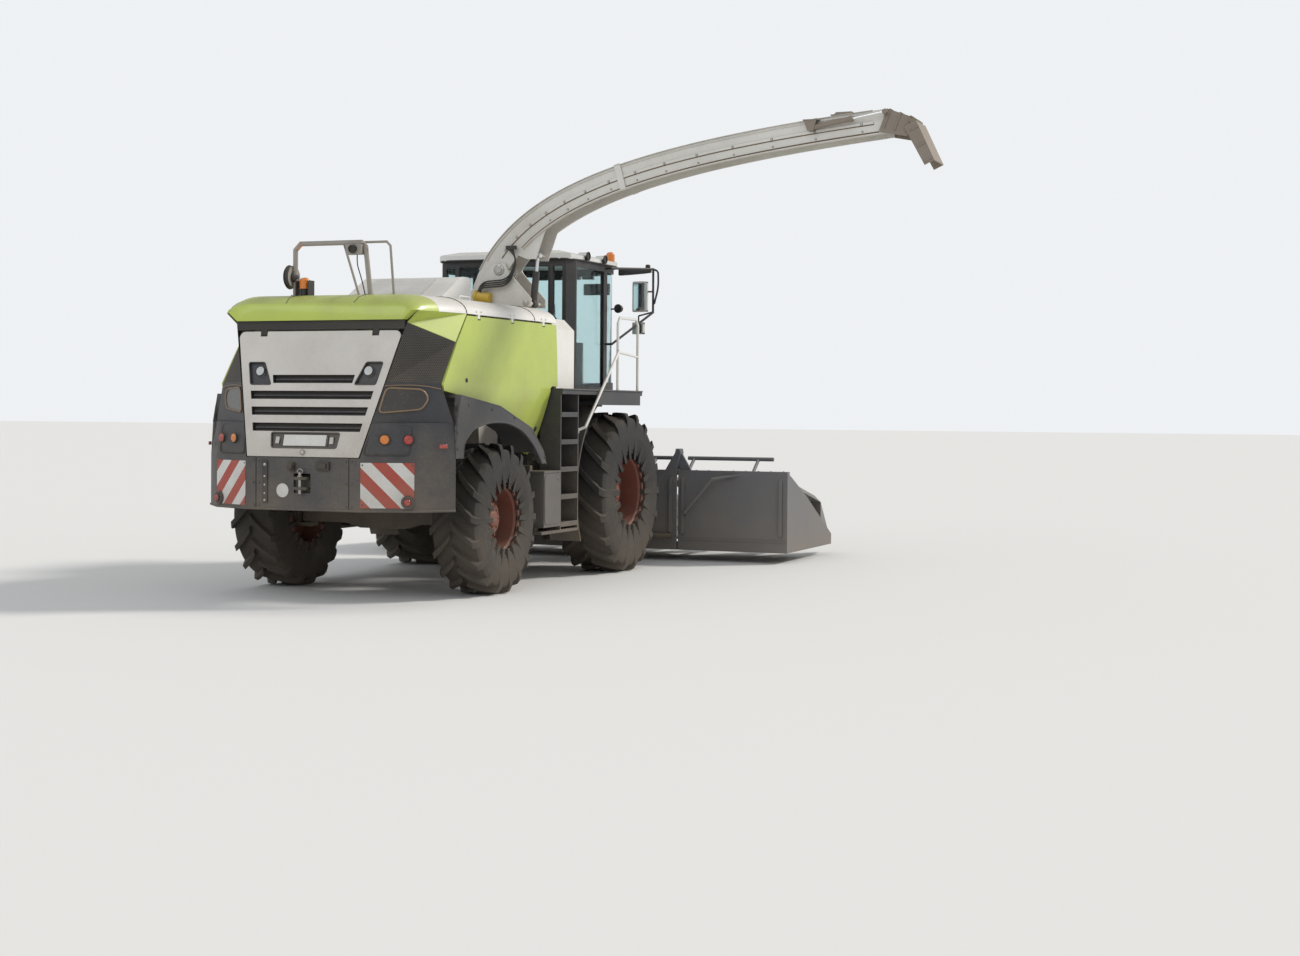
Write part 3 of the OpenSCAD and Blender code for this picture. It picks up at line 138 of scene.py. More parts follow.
class Nodes:
    """Short names for building a node tree: n.add(type, ...) makes a node and n.join links two sockets."""

    def __init__(self, tree):
        self.tree = tree

    def add(self, kind, **settings):
        """A new node of this kind with its settings."""
        node = self.tree.nodes.new("ShaderNode" + kind)
        for key, value in settings.items():
            setattr(node, key, value)
        return node

    def join(self, out, into):
        self.tree.links.new(out, into)

    def value(self, socket, amount):
        """Links amount if it is a socket, and else writes it on the socket."""
        if isinstance(amount, bpy.types.NodeSocket):
            self.join(amount, socket)
        else:
            socket.default_value = amount

    def maths(self, operation, a, b=0.0, clamp=False):
        """A maths node on a and b, each a socket or a number."""
        node = self.add("Math", operation=operation, use_clamp=clamp)
        self.value(node.inputs[0], a)
        self.value(node.inputs[1], b)
        return node.outputs[0]

    def ramp(self, amount, low, high):
        """0 below low and 1 above high, smoothly between."""
        node = self.add("MapRange", interpolation_type="SMOOTHSTEP")
        self.value(node.inputs["Value"], amount)
        node.inputs["From Min"].default_value = low
        node.inputs["From Max"].default_value = high
        return node.outputs["Result"]

    def noise(self, where, scale, detail=3.0, rough=0.55, stretch=None):
        """Noise about 0.5 at the point where, drawn out along the axes by stretch."""
        node = self.add("TexNoise")
        if stretch:
            mapping = self.add("Mapping")
            mapping.inputs["Scale"].default_value = stretch
            self.join(where, mapping.inputs["Vector"])
            where = mapping.outputs["Vector"]
        self.join(where, node.inputs["Vector"])
        self.value(node.inputs["Scale"], scale)
        node.inputs["Detail"].default_value = detail
        node.inputs["Roughness"].default_value = rough
        return node.outputs["Fac"]

    def mix(self, share, a, b):
        """The colour a, or b where share is 1."""
        node = self.add("Mix", data_type="RGBA")
        self.value(node.inputs["Factor"], share)
        self.value(node.inputs["A"], a)
        self.value(node.inputs["B"], b)
        return node.outputs["Result"]

    def blend(self, share, a, b):
        """The number a, or b where share is 1."""
        node = self.add("Mix", data_type="FLOAT")
        self.value(node.inputs["Factor"], share)
        self.value(node.inputs["A"], a)
        self.value(node.inputs["B"], b)
        return node.outputs["Result"]

    def place(self):
        """The point of the object that is being shaded."""
        return self.add("TexCoord").outputs["Object"]


def group(name, ins, outs):
    """An empty effect group with named float inputs and typed outputs, and its input and output nodes."""
    tree = bpy.data.node_groups.new(name, "ShaderNodeTree")
    for label, value in ins:
        socket = tree.interface.new_socket(label, in_out="INPUT", socket_type="NodeSocketFloat")
        socket.default_value = value
    for label, kind in outs:
        tree.interface.new_socket(label, in_out="OUTPUT", socket_type="NodeSocket" + kind)
    n = Nodes(tree)
    return tree, n, tree.nodes.new("NodeGroupInput").outputs, tree.nodes.new("NodeGroupOutput").inputs


def field_dust():
    """Dust: thick on faces that look up and near the ground, broken up by two sizes of noise."""
    tree, n, given, made = group("field_dust", [("Amount", 0.4), ("Reach", 1.6)],
                                 [("Mask", "Float"), ("Height", "Float")])
    where = n.place()
    split = n.add("SeparateXYZ")
    n.join(where, split.inputs[0])
    facing = n.add("SeparateXYZ")
    n.join(n.add("NewGeometry").outputs["Normal"], facing.inputs[0])
    up = n.ramp(facing.outputs["Z"], 0.25, 0.95)
    low = n.maths("SUBTRACT", 1.0, n.maths("DIVIDE", split.outputs["Z"], given["Reach"]), clamp=True)
    clouds = n.noise(where, 2.2, 6.0, 0.62)
    specks = n.noise(where, 46.0, 4.0, 0.7)
    base = n.maths("ADD", n.maths("MULTIPLY", up, 0.35), n.maths("MULTIPLY", low, 0.55))
    base = n.maths("ADD", base, n.maths("MULTIPLY", clouds, 0.75))
    base = n.maths("ADD", base, n.maths("MULTIPLY", specks, 0.35))
    strength = n.maths("MULTIPLY", n.ramp(base, 0.38, 1.25), given["Amount"])
    n.join(n.maths("MULTIPLY", strength, 2.0, clamp=True), made["Mask"])
    n.join(n.maths("ADD", n.maths("MULTIPLY", specks, 0.6), clouds), made["Height"])
    return tree


def paint_grain():
    """Paint: faint orange peel and slow drift of the tone, with fine scratches running along the machine."""
    tree, n, given, made = group("paint_grain", [("Scratch", 0.3)],
                                 [("Height", "Float"), ("Tone", "Float"), ("Scratches", "Float")])
    where = n.place()
    peel = n.noise(where, 260.0, 2.0, 0.5)
    drift = n.noise(where, 1.3, 4.0, 0.6)
    streaks = n.noise(where, 9.0, 8.0, 0.75, stretch=(0.5, 3.0, 14.0))
    lines = n.ramp(streaks, 0.66, 0.74)
    n.join(peel, made["Height"])
    n.join(n.maths("ADD", 0.86, n.maths("MULTIPLY", drift, 0.28)), made["Tone"])
    n.join(n.maths("MULTIPLY", lines, given["Scratch"]), made["Scratches"])
    return tree


def edge_wear():
    """Edges: where the rounded normal leaves the flat one the edge is bare in noisy patches."""
    tree, n, given, made = group("edge_wear", [("Radius", 0.006), ("Amount", 0.5)],
                                 [("Mask", "Float"), ("Normal", "Vector")])
    bevel = n.add("Bevel", samples=4)
    n.join(given["Radius"], bevel.inputs["Radius"])
    flat = n.add("NewGeometry").outputs["True Normal"]
    dot = n.add("VectorMath", operation="DOT_PRODUCT")
    n.join(bevel.outputs["Normal"], dot.inputs[0])
    n.join(flat, dot.inputs[1])
    bend = n.maths("SUBTRACT", 1.0, n.maths("ABSOLUTE", dot.outputs["Value"]))
    patches = n.noise(n.place(), 14.0, 5.0, 0.7)
    worn = n.maths("MULTIPLY", n.ramp(bend, 0.02, 0.14), n.ramp(patches, 0.42, 0.62))
    n.join(n.maths("MULTIPLY", worn, given["Amount"], clamp=True), made["Mask"])
    n.join(bevel.outputs["Normal"], made["Normal"])
    return tree


def round_holes():
    """Punched sheet: two lattices of holes, 1 by 1.732 pitches, the second half a step on in both ways."""
    tree, n, given, made = group("round_holes", [("Pitch", 0.02), ("Radius", 0.006)], [("Mask", "Float")])
    split = n.add("SeparateXYZ")
    n.join(n.place(), split.inputs[0])
    along = n.maths("SUBTRACT", n.maths("MULTIPLY", n.maths("ABSOLUTE", split.outputs["Y"]), 0.84),
                    n.maths("MULTIPLY", split.outputs["X"], 0.54))
    tall = n.maths("MULTIPLY", given["Pitch"], 1.732)

    def off_centre(run, pitch, shift):
        """How far run lies from the middle of its step."""
        share = n.maths("FRACT", n.maths("ADD", n.maths("DIVIDE", run, pitch), shift))
        return n.maths("MULTIPLY", n.maths("SUBTRACT", share, 0.5), pitch)

    gaps = []
    for shift in (0.0, 0.5):
        u = off_centre(along, given["Pitch"], shift)
        v = off_centre(split.outputs["Z"], tall, shift)
        gaps.append(n.maths("SQRT", n.maths("ADD", n.maths("MULTIPLY", u, u), n.maths("MULTIPLY", v, v))))
    nearest = n.maths("MINIMUM", gaps[0], gaps[1])
    n.join(n.maths("LESS_THAN", nearest, given["Radius"]), made["Mask"])
    return tree


def lens_ridges():
    """Lamp glass: fine upright ridges crossed by wider steps."""
    tree, n, given, made = group("lens_ridges", [("Pitch", 0.006)], [("Height", "Float")])
    split = n.add("SeparateXYZ")
    n.join(n.place(), split.inputs[0])
    across = n.maths("ADD", split.outputs["Y"], n.maths("MULTIPLY", split.outputs["X"], 0.5))
    fine = n.maths("SINE", n.maths("DIVIDE", n.maths("MULTIPLY", across, 6.283), given["Pitch"]))
    wide = n.maths("SINE", n.maths("DIVIDE", n.maths("MULTIPLY", split.outputs["Z"], 2.1), given["Pitch"]))
    n.join(n.maths("ADD", n.maths("MULTIPLY", fine, 0.5), n.maths("MULTIPLY", wide, 0.3)), made["Height"])
    return tree


def raised_bars():
    """Tread plate: short raised bars, alternate squares of the floor turned a quarter round."""
    tree, n, given, made = group("raised_bars", [("Pitch", 0.03)], [("Height", "Float")])
    split = n.add("SeparateXYZ")
    n.join(n.place(), split.inputs[0])
    u = n.maths("DIVIDE", n.maths("ADD", split.outputs["X"], split.outputs["Y"]), given["Pitch"])
    v = n.maths("DIVIDE", n.maths("SUBTRACT", split.outputs["X"], split.outputs["Y"]), given["Pitch"])
    square = n.maths("MODULO", n.maths("ADD", n.maths("FLOOR", u), n.maths("FLOOR", v)), 2.0)
    square = n.maths("GREATER_THAN", n.maths("ABSOLUTE", square), 0.5)
    fu = n.maths("ABSOLUTE", n.maths("SUBTRACT", n.maths("FRACT", u), 0.5))
    fv = n.maths("ABSOLUTE", n.maths("SUBTRACT", n.maths("FRACT", v), 0.5))
    thin, long = n.blend(square, fu, fv), n.blend(square, fv, fu)
    bar = n.maths("MULTIPLY", n.ramp(n.maths("SUBTRACT", 0.5, thin), 0.34, 0.44),
                  n.ramp(n.maths("SUBTRACT", 0.5, long), 0.08, 0.16))
    n.join(bar, made["Height"])
    return tree


def use(n, tree, **values):
    """Places an effect group in a material with its own values."""
    node = n.tree.nodes.new("ShaderNodeGroup")
    node.node_tree = tree
    for label, amount in values.items():
        n.value(node.inputs[label.capitalize()], amount)
    return node.outputs


DUST, GRAIN, EDGES = field_dust(), paint_grain(), edge_wear()
HOLES, RIDGES, BARS = round_holes(), lens_ridges(), raised_bars()
SOIL = (0.26, 0.205, 0.14, 1)
STRIPE_START, STRIPE_STEP = 1.432, 0.1415


def new_material(name):
    """An empty material with its node tree and its Principled BSDF."""
    made = bpy.data.materials.new(name)
    made.use_nodes = True
    n = Nodes(made.node_tree)
    bsdf = made.node_tree.nodes["Principled BSDF"]
    return made, n, bsdf


def paint(name, colour, rough=0.35, coat=0.0, dust=0.4, reach=1.6, wear=0.35, bare=(0.30, 0.29, 0.27),
          metal=0.0, grain=0.02, radius=0.006, scratch=0.3, bars=0.0, holes=None):
    """Painted or moulded surface: drifting tone, orange peel, bare edges and field dust over it all. bars
    gives it the raised bars of tread plate; holes, a pitch and a radius, the dark holes of punched sheet."""
    made, n, bsdf = new_material(name)
    flow = use(n, GRAIN, scratch=scratch)
    worn = use(n, EDGES, radius=radius, amount=wear)
    soil = use(n, DUST, amount=dust, reach=reach)
    tone = n.add("VectorMath", operation="SCALE")
    tone.inputs[0].default_value = colour
    n.join(flow["Tone"], tone.inputs["Scale"])
    bare_share = n.maths("MAXIMUM", worn["Mask"], flow["Scratches"])
    painted = n.mix(bare_share, tone.outputs[0], (*bare, 1))
    dusty = n.mix(soil["Mask"], painted, SOIL)
    height = n.maths("ADD", n.maths("MULTIPLY", flow["Height"], 0.02),
                     n.maths("MULTIPLY", soil["Height"], 0.08))
    if bars:
        height = n.maths("ADD", height, n.maths("MULTIPLY", use(n, BARS, pitch=0.034)["Height"], bars))
    if holes:
        pits = use(n, HOLES, pitch=holes[0], radius=holes[1])["Mask"]
        dusty = n.mix(pits, dusty, (0.004, 0.004, 0.004, 1))
        height = n.maths("SUBTRACT", height, n.maths("MULTIPLY", pits, 0.1))
    n.join(dusty, bsdf.inputs["Base Color"])
    n.join(n.blend(soil["Mask"], rough, 0.88), bsdf.inputs["Roughness"])
    bsdf.inputs["Metallic"].default_value = metal
    if coat:
        clear = n.maths("MULTIPLY", n.maths("SUBTRACT", 1.0, soil["Mask"]), coat)
        n.join(clear, bsdf.inputs["Coat Weight"])
        bsdf.inputs["Coat Roughness"].default_value = 0.12
    bump = n.add("Bump")
    bump.inputs["Strength"].default_value = 0.35
    bump.inputs["Distance"].default_value = grain
    n.join(height, bump.inputs["Height"])
    n.join(worn["Normal"], bump.inputs["Normal"])
    n.join(bump.outputs["Normal"], bsdf.inputs["Normal"])
    return made


def clear_glass(name, colour):
    """Tinted safety glass with a film of dust."""
    made, n, bsdf = new_material(name)
    soil = use(n, DUST, amount=0.16, reach=3.4)
    n.join(n.mix(soil["Mask"], (*colour, 1), (0.62, 0.58, 0.50, 1)), bsdf.inputs["Base Color"])
    n.join(n.blend(soil["Mask"], 0.03, 0.5), bsdf.inputs["Roughness"])
    bsdf.inputs["Transmission Weight"].default_value = 1.0
    bsdf.inputs["IOR"].default_value = 1.16
    return made


def lamp_glass(name, colour, rough=0.16):
    """Coloured or clear lamp glass over a pale bowl, ridged, with a little dust."""
    made, n, bsdf = new_material(name)
    soil = use(n, DUST, amount=0.12, reach=2.6)
    n.join(n.mix(soil["Mask"], (*colour, 1), SOIL), bsdf.inputs["Base Color"])
    n.join(n.blend(soil["Mask"], rough, 0.7), bsdf.inputs["Roughness"])
    bsdf.inputs["Coat Weight"].default_value = 0.8
    bsdf.inputs["Coat Roughness"].default_value = 0.06
    bump = n.add("Bump")
    bump.inputs["Strength"].default_value = 0.5
    bump.inputs["Distance"].default_value = 0.001
    n.join(use(n, RIDGES, pitch=0.006)["Height"], bump.inputs["Height"])
    n.join(bump.outputs["Normal"], bsdf.inputs["Normal"])
    return made


def striped_sheet(name):
    """Reflecting sheet with slanted red and white stripes, counted off along the attribute stripe."""
    made, n, bsdf = new_material(name)
    soil = use(n, DUST, amount=0.30, reach=1.9)
    run = n.add("Attribute", attribute_name="stripe").outputs["Fac"]
    step = n.maths("DIVIDE", n.maths("SUBTRACT", run, STRIPE_START), STRIPE_STEP)
    odd = n.maths("GREATER_THAN", n.maths("ABSOLUTE", n.maths("MODULO", n.maths("FLOOR", step), 2.0)), 0.5)
    striped = n.mix(odd, (0.40, 0.032, 0.020, 1), (0.70, 0.69, 0.66, 1))
    n.join(n.mix(soil["Mask"], striped, SOIL), bsdf.inputs["Base Color"])
    n.join(n.blend(soil["Mask"], 0.32, 0.85), bsdf.inputs["Roughness"])
    cells = n.add("TexVoronoi", feature="DISTANCE_TO_EDGE")
    n.join(n.place(), cells.inputs["Vector"])
    cells.inputs["Scale"].default_value = 420.0
    bump = n.add("Bump")
    bump.inputs["Strength"].default_value = 0.2
    bump.inputs["Distance"].default_value = 0.0006
    n.join(cells.outputs["Distance"], bump.inputs["Height"])
    n.join(bump.outputs["Normal"], bsdf.inputs["Normal"])
    return made


PAINTS = {
    "green_paint": dict(colour=(0.46, 0.555, 0.085), rough=0.3, coat=0.5, dust=0.30, reach=2.6, wear=0.15),
    "white_paint": dict(colour=(0.80, 0.785, 0.74), rough=0.33, coat=0.4, dust=0.26, reach=2.4, wear=0.15),
    "pale_panel": dict(colour=(0.60, 0.565, 0.52), rough=0.42, coat=0.15, dust=0.34, reach=2.2, wear=0.25),
    "spout_paint": dict(colour=(0.70, 0.685, 0.64), rough=0.45, dust=0.27, reach=5.5, wear=0.55,
                        scratch=0.8, bare=(0.20, 0.15, 0.11)),
    "dark_paint": dict(colour=(0.040, 0.042, 0.049), rough=0.48, dust=0.30, reach=1.7, wear=0.3),
    "chassis_paint": dict(colour=(0.040, 0.040, 0.042), rough=0.6, dust=0.36, reach=1.9, wear=0.4),
    "cab_black": dict(colour=(0.022, 0.022, 0.024), rough=0.45, dust=0.16, reach=2.2, wear=0.1),
    "cast_iron": dict(colour=(0.16, 0.155, 0.15), rough=0.7, dust=0.5, reach=2.4, wear=0.4, metal=0.3),
    "rim_red": dict(colour=(0.165, 0.034, 0.022), rough=0.55, dust=0.18, reach=1.9, wear=0.3),
    "tyre_rubber": dict(colour=(0.019, 0.018, 0.018), rough=0.85, dust=0.13, reach=1.3, wear=0.0,
                        radius=0.008),
    "header_grey": dict(colour=(0.125, 0.133, 0.150), rough=0.45, dust=0.26, reach=1.3, wear=0.6,
                        scratch=0.8, bare=(0.36, 0.34, 0.31)),
    "worn_steel": dict(colour=(0.42, 0.40, 0.37), rough=0.36, dust=0.18, reach=1.2, wear=0.5, metal=0.85,
                       scratch=0.9),
    "flap_metal": dict(colour=(0.25, 0.215, 0.185), rough=0.55, dust=0.45, reach=6.5, wear=0.7, metal=0.2,
                       scratch=0.9),
    "cylinder_black": dict(colour=(0.03, 0.03, 0.03), rough=0.4, dust=0.25, reach=2.0, wear=0.3),
    "rod_chrome": dict(colour=(0.75, 0.75, 0.74), rough=0.15, dust=0.1, reach=1.5, wear=0.0, metal=1.0,
                       scratch=0.1),
    "cushion_cloth": dict(colour=(0.05, 0.05, 0.056), rough=0.9, dust=0.1, reach=2.0, wear=0.0),
    "roof_paint": dict(colour=(0.70, 0.70, 0.67), rough=0.4, coat=0.2, dust=0.30, reach=3.0, wear=0.1),
    "lamp_rubber": dict(colour=(0.020, 0.020, 0.021), rough=0.55, dust=0.20, reach=2.0, wear=0.0),
    "hose_rubber": dict(colour=(0.016, 0.016, 0.017), rough=0.6, dust=0.30, reach=2.6, wear=0.0),
    "box_grey": dict(colour=(0.074, 0.079, 0.086), rough=0.5, dust=0.24, reach=1.7, wear=0.15),
    "tread_plate": dict(colour=(0.085, 0.085, 0.088), rough=0.5, dust=0.45, reach=2.2, wear=0.5, bars=0.12),
    "yellow_paint": dict(colour=(0.60, 0.40, 0.035), rough=0.4, dust=0.30, reach=3.0, wear=0.4),
    # shadow_brown: a dark brown painted shadow, used only on the thin strips under the spout's ribs; its
    # brown hue matches the field dirt
    "shadow_brown": dict(colour=(0.155, 0.108, 0.070), rough=0.85, dust=0.30, reach=3.0, wear=0.0),
    "bronze_trim": dict(colour=(0.25, 0.175, 0.11), rough=0.4, dust=0.25, reach=2.4, wear=0.3, metal=0.5),
    "plate_white": dict(colour=(0.70, 0.69, 0.66), rough=0.4, dust=0.26, reach=2.0, wear=0.1),
    "plate_holder": dict(colour=(0.075, 0.072, 0.070), rough=0.5, dust=0.30, reach=2.0, wear=0.2),
    "mirror_glass": dict(colour=(0.86, 0.88, 0.89), rough=0.05, dust=0.10, reach=2.0, wear=0.0, metal=1.0,
                         grain=0.0, scratch=0.0),
    "lamp_mirror": dict(colour=(0.74, 0.74, 0.72), rough=0.18, dust=0.16, reach=2.2, wear=0.0, metal=0.9),
    "fine_mesh": dict(colour=(0.030, 0.028, 0.026), rough=0.6, dust=0.2, reach=2.4, wear=0.0,
                      holes=(0.014, 0.0045)),
    "guard_paint": dict(colour=(0.30, 0.275, 0.245), rough=0.5, dust=0.30, reach=3.6, wear=0.7, scratch=0.9,
                        bare=(0.62, 0.60, 0.56)),
    "screen_black": dict(colour=(0.045, 0.040, 0.036), rough=0.6, dust=0.3, reach=2.6, wear=0.1,
                         holes=(0.018, 0.0062)),
    "smoked_pane": dict(colour=(0.016, 0.015, 0.014), rough=0.18, coat=0.7, dust=0.24, reach=2.4, wear=0.0),
}


def make_materials():
    """The finishes by name: the paints of the table, then the lamp glasses, the stripes and the windows."""
    m = {name: paint(name, **values) for name, values in PAINTS.items()}
    m["amber_lens"] = lamp_glass("amber_lens", (0.72, 0.20, 0.012))
    m["red_lens"] = lamp_glass("red_lens", (0.40, 0.016, 0.010))
    m["clear_lens"] = lamp_glass("clear_lens", (0.58, 0.60, 0.60), 0.12)
    m["warning_stripes"] = striped_sheet("warning_stripes")
    m["cab_glass"] = clear_glass("cab_glass", (0.72, 0.86, 0.87))
    return m


FINISH_OF_SLOT = {
    "dark_paint": "dark_paint", "cast_block": "cast_iron", "hood_white": "white_paint",
    "hood_green": "green_paint", "pale_metal": "pale_panel", "screen_black": "screen_black",
    "cab_black": "cab_black", "cab_glass": "cab_glass", "cushion_cloth": "cushion_cloth",
    "tyre_rubber": "tyre_rubber", "rim_red": "rim_red", "flap_grey": "flap_metal",
    "cylinder_black": "cylinder_black", "rod_chrome": "rod_chrome", "header_grey": "header_grey",
    "rotor_steel": "worn_steel",
}
EXTRAS_OF_SLOT = {
    "cab_black": ("lamp_rubber",),
    "cylinder_black": ("hose_rubber",),
    "screen_black": ("fine_mesh",),
    "cab_glass": ("amber_lens", "red_lens", "clear_lens", "smoked_pane"),
    "pale_metal": ("plate_white", "spout_paint", "bronze_trim", "yellow_paint"),
    "hood_white": ("roof_paint", "warning_stripes"),
    "rod_chrome": ("lamp_mirror", "mirror_glass"),
    "dark_paint": ("guard_paint", "chassis_paint", "plate_holder", "shadow_brown", "box_grey", "tread_plate"),
}
SLOT_OF_FINISH = {finish: slot for slot, finish in FINISH_OF_SLOT.items()}
SLOT_OF_FINISH |= {finish: slot for slot, finishes in EXTRAS_OF_SLOT.items() for finish in finishes}
FINISH_OF_NODE = {
    "frame": "chassis_paint", "front_axle": "chassis_paint", "rear_axle": "chassis_paint",
    "belly": "chassis_paint", "feeder": "chassis_paint", "knuckle_right": "chassis_paint",
    "knuckle_left": "chassis_paint", "roof_guard": "guard_paint", "spout_turn": "spout_paint",
    "spout_arm": "spout_paint", "guard_rails": "white_paint", "cab_roof": "roof_paint",
}


def dress_nodes(m):
    """Gives each CAD node the finish of its name, or else of its material slot."""
    slots = {part["node"]: part["material_slot"] for part in frame["record"]["subparts"]}
    for name, node in frame["nodes"].items():
        finish = m[FINISH_OF_NODE.get(name) or FINISH_OF_SLOT[slots[name]]]
        node.data.materials.clear()
        node.data.materials.append(finish)


# Places and mesh tools. Pieces are drawn in the machine's own frame, in metres: X ahead of the front axle,
# Y to its left, Z up from the ground. PLACE then sets them where the CAD stands.

def middle(node):
    """The middle of a CAD node's box."""
    low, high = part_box(node)
    return (np.array(low) + np.array(high)) / 2


FRONT_HUBS = [middle("rim_front_right"), middle("rim_front_left")]
PLACE = np.array([FRONT_HUBS[0][0], (FRONT_HUBS[0][1] + FRONT_HUBS[1][1]) / 2, 0.0])
AHEAD, BACK, LEFT, RIGHT, UP = (1, 0, 0), (-1, 0, 0), (0, 1, 0), (0, -1, 0), (0, 0, 1)
SIDES = (("right", -1), ("left", 1))
BUMPER_BACK = -4.560
HOOD_HALF, DECK_TOP, DECK_SHOULDER = 1.200, 2.905, 2.740
ROOF_TOP, ROOF_LAMP_Z, ROOF_BEACON = 3.638, 3.582, (1.020, 0.770)
GUARD_X, GUARD_BEACON_Y, HORN_Z = -4.005, 0.325, 3.090


def unit(v):
    """The vectors along the last axis, each made one long."""
    v = np.asarray(v, float)
    return v / np.linalg.norm(v, axis=-1, keepdims=True)


def square_to(axis):
    """Two unit vectors square to axis and to each other."""
    axis = unit(axis)
    aside = unit(np.cross(axis, (0, 0, 1) if abs(axis[2]) < 0.9 else (1, 0, 0)))
    return aside, np.cross(axis, aside)


class Shape:
    """A mesh gathered from grids of points; every grid carries the number of its finish."""

    def __init__(self):
        self.points, self.faces, self.finish, self.count = [], [], [], 0

    def add(self, points, faces, finish=0):
        """Adds faces that count from the first of these points."""
        points = np.asarray(points, float).reshape(-1, 3)
        self.points.append(points)
        self.faces += [[i + self.count for i in face] for face in faces]
        self.finish += [finish] * len(faces)
        self.count += len(points)

    def grid(self, p, ends=True, ring=False, finish=0):
        """Quads over the grid p[u, v]. v closes round, and u where ring; ends shuts the outer rows."""
        nu, nv = p.shape[:2]
        u = np.arange(nu if ring else nu - 1)[:, None]
        v = np.arange(nv)[None, :]
        here, beyond = u % nu * nv, (u + 1) % nu * nv
        left, right = v, (v + 1) % nv
        quads = np.stack([here + left, beyond + left, beyond + right, here + right], -1).reshape(-1, 4)
        faces = quads.tolist()
        if ends and not ring:
            faces += [list(range(nv))[::-1], [(nu - 1) * nv + i for i in range(nv)]]
        self.add(p, faces, finish)

    def turned(self, profile, centre, axis, n=32, finish=0):
        """The profile, rows of [distance from the axis, height along it], carried once round the axis."""
        profile, centre, axis = np.asarray(profile, float), np.asarray(centre, float), unit(axis)
        a, b = square_to(axis)
        t = np.linspace(0, 2 * np.pi, n, endpoint=False)
        around = np.cos(t)[:, None] * a + np.sin(t)[:, None] * b
        self.grid(centre + profile[:, :1, None] * around[None] + profile[:, 1:, None] * axis, finish=finish)

    def cap(self, centre, axis, foot, wall, top, height, n=28, finish=0):
        """A low round knob: a wall of radius foot, then a slope in to a flat top of radius top."""
        self.turned([(foot, 0), (foot, wall), (top, height), (0.001, height)], centre, axis, n, finish)

    def tube(self, path, radius, n=12, ring=False, finish=0):
        """A circle carried along the path, square to it."""
        path = np.asarray(path, float)
        along = np.roll(path, -1, 0) - np.roll(path, 1, 0) if ring else np.gradient(path, axis=0)
        along = unit(along)
        spread = path - path.mean(0)
        plane = np.linalg.svd(spread)[2][2] if len(path) > 2 else square_to(along[0])[0]
        if abs(along @ plane).max() > 0.95:
            plane = square_to(along[0])[0]
        side = unit(np.cross(along, plane))
        other = np.cross(side, along)
        t = np.linspace(0, 2 * np.pi, n, endpoint=False)
        around = np.cos(t)[None, :, None] * side[:, None] + np.sin(t)[None, :, None] * other[:, None]
        radius = np.broadcast_to(np.asarray(radius, float), (len(path),))
        self.grid(path[:, None] + radius[:, None, None] * around, ring=ring, finish=finish)

    def prism(self, outline, origin, u, v, depth, finish=0):
        """A flat outline of [u, v] at origin, given thickness along u x v from depth[0] to depth[1]."""
        outline, origin, u, v = np.asarray(outline, float), np.asarray(origin, float), unit(u), unit(v)
        flat = origin + outline[:, :1] * u + outline[:, 1:] * v
        out = np.cross(u, v)
        self.grid(np.stack([flat + depth[0] * out, flat + depth[1] * out]), finish=finish)

    def block(self, low, high, finish=0):
        """A box between two opposite corners."""
        low, high = np.minimum(low, high), np.maximum(low, high)
        size = high - low
        self.prism([(0, 0), (size[0], 0), (size[0], size[1]), (0, size[1])], low, (1, 0, 0), (0, 1, 0),
                   (0, size[2]), finish)

    def bolts(self, centres, axis, radius=0.012, height=0.009):
        """Hexagon heads with chamfered tops, each on a washer."""
        profile = [(radius * 1.35, 0), (radius * 1.35, height * 0.2), (radius, height * 0.2),
                   (radius, height * 0.85), (radius * 0.85, height), (radius * 0.1, height)]
        for centre in centres:
            self.turned(profile, centre, axis, n=6)


def rounded(corners, radius, steps=5, ring=False):
    """The corners joined by straights, each taken round a curve: (1-t)^2 a + 2t(1-t) corner + t^2 b."""
    corners = np.asarray(corners, float)
    t = np.linspace(0, 1, steps + 1)[:, None]
    runs = [] if ring else [corners[:1]]
    for i in range(0 if ring else 1, len(corners) if ring else len(corners) - 1):
        before, here, after = corners[i - 1], corners[i], corners[(i + 1) % len(corners)]
        cut = min(radius, 0.45 * np.linalg.norm(before - here), 0.45 * np.linalg.norm(after - here))
        a, b = here + cut * unit(before - here), here + cut * unit(after - here)
        runs.append((1 - t) ** 2 * a + 2 * t * (1 - t) * here + t ** 2 * b)
    if not ring:
        runs.append(corners[-1:])
    return np.concatenate(runs)


def box_outline(u0, u1, v0, v1, radius=0.0, steps=4):
    """A rectangle with round corners, as rows of [u, v]."""
    corners = [(u0, v0), (u1, v0), (u1, v1), (u0, v1)]
    return rounded(corners, radius, steps, ring=True) if radius else np.array(corners, float)


def level_ring(centre, radius, height, a):
    """Places at the angles a round a level circle, at this height over the centre."""
    return centre + np.stack([radius * np.cos(a), radius * np.sin(a), 0 * a + height], -1)


